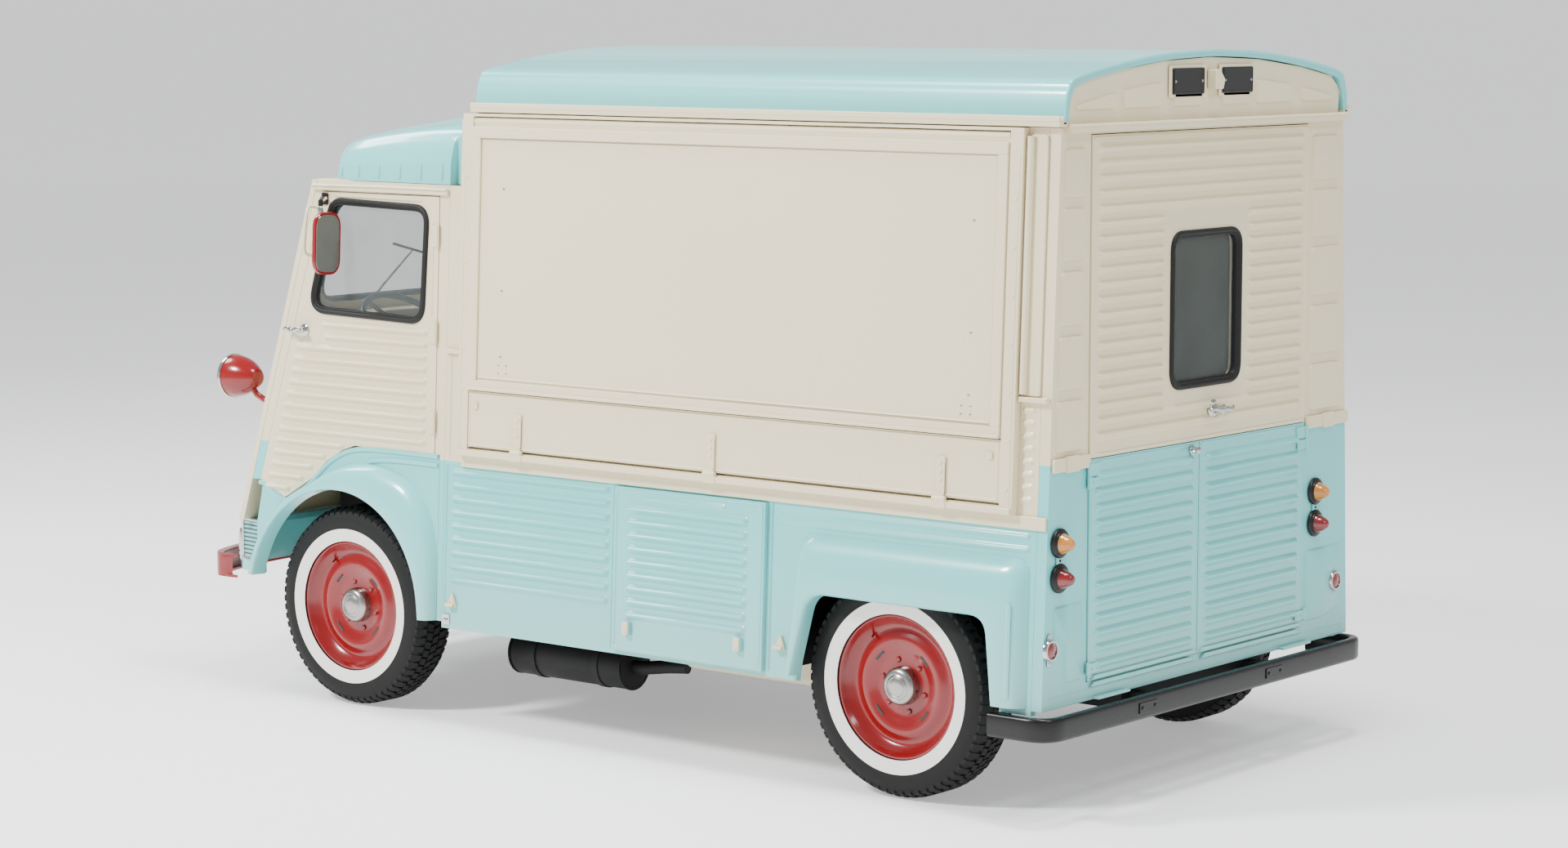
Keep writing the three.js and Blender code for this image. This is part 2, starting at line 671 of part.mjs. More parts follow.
function frontFender() {
  const left = BOX_FRONT + GAP + 24 + GAP;
  const archEnd = Math.asin((APRON_BOTTOM + 4 - TYRE_RADIUS) / ARCH_RADIUS);
  const arch = arc(WHEELBASE, TYRE_RADIUS, ARCH_RADIUS, archEnd, Math.PI - archEnd * 0.3, 10);
  const skin = outline(onWall([
    [left, 372],
    ...arch.slice().reverse(),
    [frontX(APRON_TOP + 4) - 98, APRON_BOTTOM + 4],
    [frontX(APRON_TOP + 4) - 98, APRON_TOP + 4],
    [frontX(790) - PILLAR_WIDTH - 16, 790],
    [2904, 788],
    [2800, 732],
    [2728, 772],
    [2655, 814],
    [2584, 882],
    [2500, 930],
    [2440, 949],
    [left, 956],
  ]));
  const crest = [[left, 470], [left, 640], [2060, 762], [2150, 852], [2290, 899], [2400, 902], [2500, 882]];
  const flareFront = arc(WHEELBASE, TYRE_RADIUS, ARCH_RADIUS + FLARE_WIDTH, 1.25, archEnd, 6);
  const flare = outline(onWall([
    ...crest,
    ...flareFront,
    ...arch,
    [2030, 372],
    [left, 372],
  ]));
  return join(plate(skin, "y", -WALL, 0), plate(flare, "y", -WALL, FENDER_FLARE));
}

function rearFender() {
  const outer = outline(onWall([
    [-548, 372],
    [-548, 842],
    [352, 842],
    [388, 372],
    [362, 372],
    [322, 560],
    [290, 646],
    [-400, 646],
    [-424, 560],
    [-440, 372],
  ]), 46);
  return plate(outer, "y", GAP, FENDER_FLARE + GAP);
}

function rearBumper() {
  const half = BUMPER_HALF_WIDTH;
  const reach = -432;
  const u = (inset) => outline([
    [reach + (inset ? 60 : 0), -half + inset],
    [REAR_END + inset, -half + inset],
    [REAR_END + inset, half - inset],
    [reach + (inset ? 60 : 0), half - inset],
  ], 90 - inset);
  return cut(
    plate(u(0), "z", BUMPER_BOTTOM, BUMPER_TOP, 4),
    plate(u(BUMPER_THICKNESS), "z", BUMPER_BOTTOM - 9, BUMPER_TOP + 9, 4),
    box([reach - 120, reach + 200], [-half + BUMPER_THICKNESS, half - BUMPER_THICKNESS], [200, 400]),
  );
}

function frontBumper() {
  const plan = (grow) => {
    const side = [
      [3120 + grow, 862],
      [3212 + grow, 846],
      [3300 + grow, 620],
      [3332 + grow, 330],
    ];
    return [...side, ...side.slice().reverse().map(([x, y]) => [x, -y])];
  };
  const front = plan(38);
  const back = plan(0).reverse();
  const beam = plate(outline([...front, ...back]), "z", 404, 494);
  const irons = [350, -350].map((y) => box([2940, 3345], [y - 22, y + 22], [FLOOR_TOP - 23, 412]));
  return join(beam, ...irons);
}

// ---- Hatch, flaps and doors of the box ----
function hatchFrame() {
  const outer = onWall(rectangle(
    [HATCH_FRAME_REAR, HATCH_FRAME_FRONT],
    [HATCH_FRAME_BOTTOM, HATCH_FRAME_TOP],
  ));
  const inner = onWall(rectangle(
    [HATCH_FRAME_REAR + HATCH_FRAME_BAR, HATCH_FRAME_FRONT - HATCH_FRAME_BAR],
    [FLAP_HINGE_HEIGHT - 4, HATCH_HINGE_HEIGHT + 16],
  ));
  const ring = cut(
    plate(outline(outer), "y", GAP, HATCH_FRAME_DEPTH),
    plate(outline(inner), "y", -9, HATCH_FRAME_DEPTH + 9),
  );
  return ring;
}

const HATCH_REAR = HATCH_FRAME_REAR + HATCH_FRAME_BAR + JOINT_GAP;
const HATCH_FRONT = HATCH_FRAME_FRONT - HATCH_FRAME_BAR - JOINT_GAP;
const HATCH_AXIS_OUT = 18; // distance of the hatch's hinge axis from the side wall

function servingHatch() {
  const v = up(HATCH_HINGE_HEIGHT);
  const panel = box([HATCH_REAR, HATCH_FRONT], [4, 4 + HATCH_THICKNESS], [up(HATCH_BOTTOM), v]);
  const tube = bar([HATCH_REAR, HATCH_AXIS_OUT, v], [HATCH_FRONT, HATCH_AXIS_OUT, v], 11, 12);
  return join(panel, tube);
}

const FLAP_AXIS_OUT = HATCH_FRAME_DEPTH + HINGE_BARREL + 2;

function counterFlap() {
  const bottom = up(FLAP_HINGE_HEIGHT + 4);
  const panel = box([HATCH_REAR, HATCH_FRONT], [4, 28], [bottom, bottom + FLAP_HEIGHT]);
  const axis = up(FLAP_HINGE_HEIGHT);
  const straps = STRAP_PLACES.map((x) => join(
    box([x - 17, x + 17], [27, 34], [bottom + 6, bottom + 110]),
    box([x - 17, x + 17], [28, FLAP_AXIS_OUT], [bottom + 6, bottom + 13]),
    box([x - 17, x + 17], [FLAP_AXIS_OUT - 4, FLAP_AXIS_OUT + 3], [axis, bottom + 13]),
    bar([x - 17, FLAP_AXIS_OUT, axis], [x + 17, FLAP_AXIS_OUT, axis], HINGE_BARREL, 8),
  ));
  return join(panel, ...straps);
}

function accessFlap() {
  const sheet = box(
    [ACCESS_REAR, ACCESS_FRONT],
    [GAP, GAP + ACCESS_THICKNESS],
    [up(ACCESS_BOTTOM), up(ACCESS_TOP)],
  );
  const latches = [ACCESS_REAR + 96, ACCESS_FRONT - 74].map((x) => (
    box([x - 14, x + 14], [GAP + ACCESS_THICKNESS - 1, GAP + ACCESS_THICKNESS + 12], [up(424), up(468)])
  ));
  return join(sheet, ...latches);
}

const REAR_DOOR_FACE = BODY_REAR - REAR_DOOR_PROUD;
const TAILGATE_WINDOW = rectangle([-178, 222], [1322, 1812]);

function tailgate() {
  const face = rectangle(
    [REAR_OPENING_RIGHT + JOINT_GAP, REAR_OPENING_LEFT - JOINT_GAP],
    [TAILGATE_BOTTOM, REAR_OPENING_TOP - JOINT_GAP],
  );
  return cut(
    plate(outline(face), "x", REAR_DOOR_FACE, REAR_DOOR_FACE + REAR_DOOR_THICKNESS),
    plate(outline(TAILGATE_WINDOW, 55), "x", REAR_DOOR_FACE - 50, REAR_DOOR_FACE + 100),
  );
}

function tailgateGlass() {
  const [[y0, z0], , [y1, z1]] = TAILGATE_WINDOW;
  const shape = rectangle([y0 + 3, y1 - 3], [z0 + 3, z1 - 3]);
  return plate(outline(shape, 53), "x", REAR_DOOR_FACE + 14, REAR_DOOR_FACE + 14 + GLASS);
}

const TAILGATE_HANDLE = [-24, 1233];

function tailgateHandle() {
  const [y, z] = TAILGATE_HANDLE;
  const stem = bar([REAR_DOOR_FACE - 3, y, z], [REAR_DOOR_FACE - 42, y, z], 14, 10);
  const grip = box([REAR_DOOR_FACE - 52, REAR_DOOR_FACE - 36], [y - 75, y + 75], [z - 9, z + 9]);
  return join(stem, grip);
}

function rearDoor(from, to, hingeY) {
  const bottom = REAR_OPENING_BOTTOM + JOINT_GAP;
  const top = TAILGATE_BOTTOM - JOINT_GAP;
  const sheet = box([REAR_DOOR_FACE, REAR_DOOR_FACE + REAR_DOOR_THICKNESS], [from, to], [bottom, top]);
  const outwards = Math.sign(hingeY);
  const leaf = outwards > 0 ? [hingeY - 62, hingeY] : [hingeY, hingeY + 62];
  const strap = box([REAR_DOOR_FACE - 5, REAR_DOOR_FACE + 1], leaf, [top - 52, top - 12]);
  const barrel = bar([REAR_HINGE_X, hingeY, top - 52], [REAR_HINGE_X, hingeY, top - 12], 7, 8);
  return join(sheet, strap, barrel);
}

const REAR_HINGE_X = REAR_DOOR_FACE - 6;
const REAR_HINGE_LEFT = REAR_OPENING_LEFT + 6;
const REAR_HINGE_RIGHT = REAR_OPENING_RIGHT - 6;
const LATCH_PLACE = [96, 1108];

function rearLatch() {
  const [y, z] = LATCH_PLACE;
  const stem = bar([REAR_DOOR_FACE - 2, y, z], [REAR_DOOR_FACE - 26, y, z], 9, 10);
  const lever = box([REAR_DOOR_FACE - 34, REAR_DOOR_FACE - 22], [y - 12, y + 34], [z - 8, z + 8]);
  return join(stem, lever);
}

// ---- Wheels and steering ----
function tyre(x, y) {
  const half = TYRE_WIDTH / 2;
  const flats = Math.cos(Math.PI / WHEEL_SIDES); // a facet's middle is nearer the axis than its ends
  const tread = TYRE_RADIUS / flats;
  const bead = (BEAD_RADIUS + GAP) / flats;
  const seat = (RIM_RADIUS + GAP) / flats;
  const profile = [
    [bead, -FLANGE_INNER + GAP],
    [seat, -FLANGE_INNER + GAP],
    [seat + 6, -half + 6],
    [290, -half],
    [tread - 22, -half + 10],
    [tread, -half + 26],
    [tread, half - 26],
    [tread - 22, half - 10],
    [290, half],
    [seat + 6, half - 6],
    [seat, FLANGE_INNER - GAP],
    [bead, FLANGE_INNER - GAP],
    [bead, -FLANGE_INNER + GAP],
  ];
  return turned(profile, [x, y, TYRE_RADIUS], WHEEL_SIDES, Math.PI / WHEEL_SIDES);
}

function rim(x, y) {
  const profile = [
    [HUB_BORE, -30],
    [78, -30],
    [78, 12],
    [120, 26],
    [186, 2],
    [190, -FLANGE_INNER + 6],
    [RIM_RADIUS - 8, -FLANGE_OUTER],
    [RIM_RADIUS, -FLANGE_OUTER],
    [RIM_RADIUS, -FLANGE_INNER],
    [BEAD_RADIUS, -FLANGE_INNER],
    [BEAD_RADIUS, FLANGE_INNER],
    [RIM_RADIUS, FLANGE_INNER],
    [RIM_RADIUS, FLANGE_OUTER],
    [RIM_RADIUS - 10, FLANGE_OUTER],
    [196, 40],
    [150, 54],
    [92, 34],
    [62, 34],
    [60, 74],
    [0, 84],
    [0, 4],
    [HUB_BORE, 4],
    [HUB_BORE, -30],
  ];
  return turned(profile, [x, y, TYRE_RADIUS], 24);
}

function knuckle() {
  const barrel = bar([WHEELBASE, KINGPIN_Y, 270], [WHEELBASE, KINGPIN_Y, TYRE_RADIUS + 95], 28, 12);
  const stub = bar(
    [WHEELBASE, KINGPIN_Y, TYRE_RADIUS],
    [WHEELBASE, TRACK / 2 - 2, TYRE_RADIUS],
    STUB_RADIUS,
    12,
  );
  const arm = box([WHEELBASE - 130, WHEELBASE], [KINGPIN_Y - 34, KINGPIN_Y - 10], [330, 352]);
  return join(barrel, stub, arm);
}

function steeringWheel() {
  const ring = new THREE.TorusGeometry(STEERING_WHEEL_RADIUS, 13, 6, 20);
  const spoke = (angle) => bar(
    [Math.cos(angle) * 30, Math.sin(angle) * 30, -4],
    [Math.cos(angle) * STEERING_WHEEL_RADIUS, Math.sin(angle) * STEERING_WHEEL_RADIUS, 0],
    6,
    6,
  );
  const hub = bar([0, 0, -12], [0, 0, 22], 34, 12);
  const spokes = [0.5, 2.64, 4.71].map(spoke);
  const whole = geometryOf(join(solidOf(ring), hub, ...spokes));
  whole.rotateY(-STEERING_LEAN);
  whole.translate(...STEERING_WHEEL_CENTRE);
  return solidOf(whole);
}

const WIPER_PIVOTS = [420, -330];
const WIPER_HEIGHT = 1432;

function wiper(y) {
  const x = frontX(WIPER_HEIGHT);
  const spindle = bar([x + 2, y, WIPER_HEIGHT], [x + 30, y, WIPER_HEIGHT + 8], 8, 8);
  const tip = [frontX(WIPER_HEIGHT + 190) + 22, y - 180, WIPER_HEIGHT + 190];
  const arm = bar([x + 24, y, WIPER_HEIGHT + 6], tip, 5, 6);
  const blade = bar(
    [tip[0] - 6, tip[1] - 120, tip[2] - 30],
    [tip[0] - 6, tip[1] + 120, tip[2] + 30],
    6,
    6,
  );
  return join(spindle, arm, blade);
}

// ---- Lamps, running gear and fittings ----
function headlight() {
  const z = 1154;
  const x = 3162;
  const y = 760;
  const profile = [[0, 84], [60, 84], [79, 72], [79, 40], [66, -6], [40, -46], [0, -66]];
  const bowl = geometryOf(turned(profile, [0, 0, 0], 14));
  bowl.rotateZ(-Math.PI / 2);
  bowl.translate(x, y, z);
  const stalk = bar([x - 30, y, z - 40], [frontX(1050) + 3, y - 40, 1050], 11, 8);
  return join(solidOf(bowl), stalk);
}

function tailLamps(y) {
  const face = BODY_REAR - GAP;
  const base = (z) => bar([face, y, z], [face - 16, y, z], 46, 12);
  const cone = (z) => {
    const geometry = new THREE.CylinderGeometry(14, 32, 46, 10);
    geometry.rotateZ(Math.PI / 2);
    geometry.translate(face - 36, y, z);
    return solidOf(geometry);
  };
  const strip = box([face - 4, face], [y - 14, y + 14], [772, 894]);
  return join(strip, base(888), base(778), cone(888), cone(778));
}

function silencer() {
  const body = bar([1360, 600, 232], [1900, 600, 232], 82, 14);
  const tail = bar([1365, 600, 232], [1150, 560, 250], 24, 8);
  const pipe = bar([1895, 600, 232], [1960, 520, 250], 24, 8);
  const straps = [1480, 1780].map((x) => (
    box([x - 15, x + 15], [590, 610], [300, FLOOR_TOP - FLOOR_THICKNESS - 2])
  ));
  return join(body, tail, pipe, ...straps);
}

function engineUnit() {
  const block = box([2560, 2840], [-150, 150], [384, 880]);
  const gearbox = bar([2835, 0, 500], [3060, 0, 500], 100, 10);
  const feet = [1, -1].map((side) => (
    box([2640, 2700], side > 0 ? [140, 360] : [-360, -140], [FLOOR_TOP - 23, FLOOR_TOP - 2])
  ));
  const mount = box([2630, 2710], [-160, 160], [FLOOR_TOP - 23, FLOOR_TOP]);
  return join(block, gearbox, ...feet, mount);
}

function bench() {
  const half = CAB_FLOOR_HALF_WIDTH - 15;
  return join(
    plate(outline([[2090, 801], [2500, 801], [2512, 880], [2490, 912], [2130, 896]], 20), "y", -half, half),
    plate(outline([[2060, 860], [2150, 860], [2110, 1395], [2050, 1395]], 24), "y", -half, half),
  );
}

function servingCounter() {
  const back = wallY(1000) - WALL - 60;
  const cabinet = cut(
    box([-300, 1700], [back - 480, back], [FLOOR_TOP + 2, 985]),
    box([-275, 1675], [back - 600, back - 20], [FLOOR_TOP + 80, 940]),
    box([-310, WELL_REACH + 20], [WELL_INNER - 20, 1000], [380, WELL_TOP + 20]),
  );
  const top = box([-330, 1730], [back - 510, back + 4], [975, 1000]);
  return join(cabinet, top);
}

function backCounter() {
  const back = -(wallY(900) - WALL - 40);
  const cabinet = cut(
    box([-200, 1500], [back, back + 450], [FLOOR_TOP + 2, 880]),
    box([-180, 1480], [back + 20, back + 600], [FLOOR_TOP + 80, 730]),
    box([440, 1480], [back + 20, back + 600], [FLOOR_TOP + 80, 850]),
    box([-210, WELL_REACH + 20], [-1000, -WELL_INNER + 20], [380, WELL_TOP + 20]),
  );
  const top = box([-220, 1520], [back, back + 480], [870, 900]);
  const basin = box([20, 420], [back + 90, back + 400], [800, 1000]);
  const post = bar([-40, back + 240, 890], [-40, back + 240, 1180], 14, 10);
  const spout = bar([-46, back + 240, 1172], [150, back + 240, 1150], 11, 8);
  return join(cut(join(cabinet, top), basin), post, spout);
}

// ---- Assembly ----
node("chassis_frame", "black", chassisFrame(), truck);
node("box_left_wall", "turquoise", boxWall([HATCH_OPENING, ACCESS_OPENING]), SIDES.left.lean);
node("box_right_wall", "turquoise", boxWall([]), SIDES.right.lean);
node("box_roof", "turquoise", boxRoof(), truck);
node("rear_frame", "cream", rearFrame(), truck);
node("bulkhead", "cream", bulkhead(), truck);
node("cab_floor", "black", cabFloor(), truck);
node("cab_front", "cream", cabFront(), truck);
node("cab_roof", "turquoise", cabRoof(), truck);
node("windscreen", "glass", windscreen(), truck);
node("front_apron", "turquoise", frontApron(), truck);
node("bonnet", "cream", bonnet(), truck);
node("front_bumper", "red", frontBumper(), truck);
node("rear_bumper", "black", rearBumper(), truck);
node("hatch_frame", "cream", hatchFrame(), SIDES.left.lean);
node("serving_hatch", "cream", servingHatch(), SIDES.left.lean);
node("counter_flap", "cream", counterFlap(), SIDES.left.lean);
node("access_flap", "turquoise", accessFlap(), SIDES.left.lean);
node("tailgate", "cream", tailgate(), truck);
node("tailgate_glass", "glass", tailgateGlass(), truck);
node("tailgate_handle", "chrome", tailgateHandle(), truck);
node(
  "rear_door_left",
  "turquoise",
  rearDoor(DOOR_MEETING_LINE + 2, REAR_OPENING_LEFT - JOINT_GAP, REAR_HINGE_LEFT),
  truck,
);
node(
  "rear_door_right",
  "turquoise",
  rearDoor(REAR_OPENING_RIGHT + JOINT_GAP, DOOR_MEETING_LINE - 2, REAR_HINGE_RIGHT),
  truck,
);
node("rear_door_latch", "chrome", rearLatch(), truck);
node("tail_lamps_left", "amber", tailLamps(REAR_OPENING_LEFT + 159), truck);
node("tail_lamps_right", "amber", tailLamps(REAR_OPENING_RIGHT - 78), truck);
node("silencer", "black", silencer(), truck);
node("engine_unit", "steel", engineUnit(), truck);
node("bench_seat", "vinyl", bench(), truck);
node("serving_counter", "steel", servingCounter(), truck);
node("back_counter", "steel", backCounter(), truck);
node("steering_wheel", "black", steeringWheel(), truck);
node("wiper_left", "black", wiper(WIPER_PIVOTS[0]), truck);
node("wiper_right", "black", wiper(WIPER_PIVOTS[1]), truck);

for (const [name, { half, lean }] of Object.entries(SIDES)) {
  node("door_frame_" + name, "cream", doorFrame(), lean);
  node("cab_door_" + name, "cream", cabDoor(), lean);
  node("door_glass_" + name, "glass", doorGlass(), lean);
  node("cab_handle_" + name, "chrome", cabHandle(), lean);
  node("mirror_" + name, "red", mirror(), lean);
  node("front_fender_" + name, "turquoise", frontFender(), lean);
  node("rear_fender_" + name, "turquoise", rearFender(), lean);
  node("headlight_" + name, "red", headlight(), half);
  node("knuckle_" + name, "steel", knuckle(), half);
  for (const [end, x] of Object.entries({ front: WHEELBASE, rear: 0 })) {
    node("tyre_" + end + "_" + name, "rubber", tyre(x, TRACK / 2), half);
    node("rim_" + end + "_" + name, "red", rim(x, TRACK / 2), half);
  }
}

export default assembly;
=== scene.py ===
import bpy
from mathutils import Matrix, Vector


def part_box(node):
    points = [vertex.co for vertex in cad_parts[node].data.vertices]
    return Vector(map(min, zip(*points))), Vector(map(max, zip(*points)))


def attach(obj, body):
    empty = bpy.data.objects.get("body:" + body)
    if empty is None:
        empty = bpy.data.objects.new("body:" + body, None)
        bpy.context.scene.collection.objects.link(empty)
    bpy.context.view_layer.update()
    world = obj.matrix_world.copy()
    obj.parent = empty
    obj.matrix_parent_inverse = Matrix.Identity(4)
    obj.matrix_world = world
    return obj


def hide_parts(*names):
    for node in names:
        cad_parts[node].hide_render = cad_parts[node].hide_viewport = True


bl_info = {
    "name": "Corrugated serving van",
    "version": (1, 0, 0),
    "blender": (4, 5, 0),
    "location": "3D View > Sidebar > Van",
    "description": "Pressed panels, trim, wheels and paint of a corrugated serving van",
    "category": "Object",
}

import math

import bmesh
import bpy
from mathutils import Matrix, Vector

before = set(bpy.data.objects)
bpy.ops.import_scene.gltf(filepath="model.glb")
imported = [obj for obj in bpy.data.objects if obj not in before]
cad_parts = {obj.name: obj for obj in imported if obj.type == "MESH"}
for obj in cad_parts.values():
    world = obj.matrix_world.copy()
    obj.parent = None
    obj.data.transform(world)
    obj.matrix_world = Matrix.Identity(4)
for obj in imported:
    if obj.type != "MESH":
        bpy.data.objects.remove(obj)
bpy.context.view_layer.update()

# ---- Where things are: millimetres from the rear axle, x forward, y left, z up ----
WHEEL_LOW, WHEEL_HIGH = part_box("tyre_rear_left")
AXLE = (WHEEL_LOW.x + WHEEL_HIGH.x) / 2
WHEELBASE = 2500
TYRE_RADIUS = (WHEEL_HIGH.z - WHEEL_LOW.z) * 500
TRACK_HALF = (WHEEL_LOW.y + WHEEL_HIGH.y) * 500
TUMBLEHOME = 0.0449  # inward lean of the side walls
FRONT_LEAN = 0.2845  # backward lean of the cab's front
BODY_HALF_WIDTH = 931  # at the lower edge of the side walls
BODY_BOTTOM = 350
FRONT_TOP = 1922  # top of the cab's front, and how far forward it is there
FRONT_TOP_X = 2684
BODY_REAR = -607
DOOR_FACE = -612
BELT = 945  # top of the turquoise on the sides
REAR_BELT = 1133  # top of the turquoise on the rear frame
HATCH_FACE = 28  # how far the serving hatch and counter flap stand out from the wall
HATCH_FRAME_FACE = 32
ACCESS_FACE = 16  # how far the access flap stands out
STRAP_HINGES = (1606, 730, -216)  # x of the counter flap's hinges
CAB_EAVES = 1918  # foot of the cab roof
CAB_ROOF_CREST = 2204
CAB_ROOF_HALF = 861
BOX_FRONT = 1985
ARCH_RADIUS = 432  # front wheel opening
SIDES = {"left": 1, "right": -1}


def wall_y(z):
    """Half width of the body at a height."""
    return BODY_HALF_WIDTH - (z - BODY_BOTTOM) * TUMBLEHOME


def front_x(z):
    """The cab's front face at a height."""
    return FRONT_TOP_X + (FRONT_TOP - z) * FRONT_LEAN


def on_side(side):
    """Places a point by its x, its height and how far it stands out from a side wall."""
    return lambda x, z, out: Vector((x, side * (wall_y(z) + out), z + out * TUMBLEHOME))


def on_rear(y, z, out):
    """Places a point on the rear frame."""
    return Vector((BODY_REAR - out, y, z))


def on_doors(y, z, out):
    """Places a point on the face of the tailgate and the lower doors."""
    return Vector((DOOR_FACE - out, y, z))


def on_nose(y, z, out):
    """Places a point on the cab's leaning front."""
    length = math.hypot(1, FRONT_LEAN)
    return Vector((front_x(z) + out / length, y, z + out * FRONT_LEAN / length))


def on_bonnet(y, z, out):
    """Places a point on the bonnet's front."""
    knots = [(700, 3290), (1100, 3225), (1222, 3105), (1282, 2870)]
    for (z0, x0), (z1, x1) in zip(knots, knots[1:]):
        if z <= z1:
            return Vector((x0 + (x1 - x0) * (z - z0) / (z1 - z0) + out, y, z))
    return Vector((knots[-1][1] + out, y, z))


# ---- Outlines ----
def rounded(corners, radius, steps=5):
    """A closed outline with its corners rounded, anticlockwise."""
    area = sum(a[0] * b[1] - b[0] * a[1] for a, b in zip(corners, corners[1:] + corners[:1]))
    loop = [Vector(c) for c in (corners if area > 0 else corners[::-1])]
    made = []
    for i, here in enumerate(loop):
        before, after = loop[i - 1] - here, loop[(i + 1) % len(loop)] - here
        half = before.angle(after) / 2
        reach = min(radius / math.tan(half), before.length * 0.49, after.length * 0.49)
        if reach < 0.5:
            made.append(here)
            continue
        a, b = here + before.normalized() * reach, here + after.normalized() * reach
        for k in range(steps + 1):
            s = k / steps
            made.append(a * (1 - s) ** 2 + here * 2 * s * (1 - s) + b * s * s)
    return made


def oblong(low, high, radius, steps=5):
    """A rounded rectangle between two corners."""
    (u0, v0), (u1, v1) = low, high
    return rounded([(u0, v0), (u1, v0), (u1, v1), (u0, v1)], radius, steps)


def grown(outline, by):
    """An anticlockwise outline moved outwards."""
    count = len(outline)
    made = []
    for i, here in enumerate(outline):
        a = (here - outline[i - 1]).normalized()
        b = (outline[(i + 1) % count] - here).normalized()
        na, nb = Vector((a.y, -a.x)), Vector((b.y, -b.x))
        mean = (na + nb).normalized()
        made.append(here + mean * (by / max(0.6, mean.dot(na))))
    return made


def smooth(points, per=4):
    """A curve through points."""
    pts = [Vector(p) for p in points]
    count = len(pts)
    made = []
    for i in range(count - 1):
        a, b = pts[max(i - 1, 0)], pts[i]
        c, d = pts[i + 1], pts[min(i + 2, count - 1)]
        for k in range(per):
            t = k / per
            made.append(
                0.5 * (2 * b + (c - a) * t + (2 * a - 5 * b + 4 * c - d) * t**2
                       + (3 * b - a - 3 * c + d) * t**3)
            )
    made.append(pts[-1])
    return made


def swell(share):
    """Height of a pressing at a share of its half width: 1 in the middle, 0 at the foot."""
    return math.cos(math.pi / 2 * min(1, abs(share))) ** 2


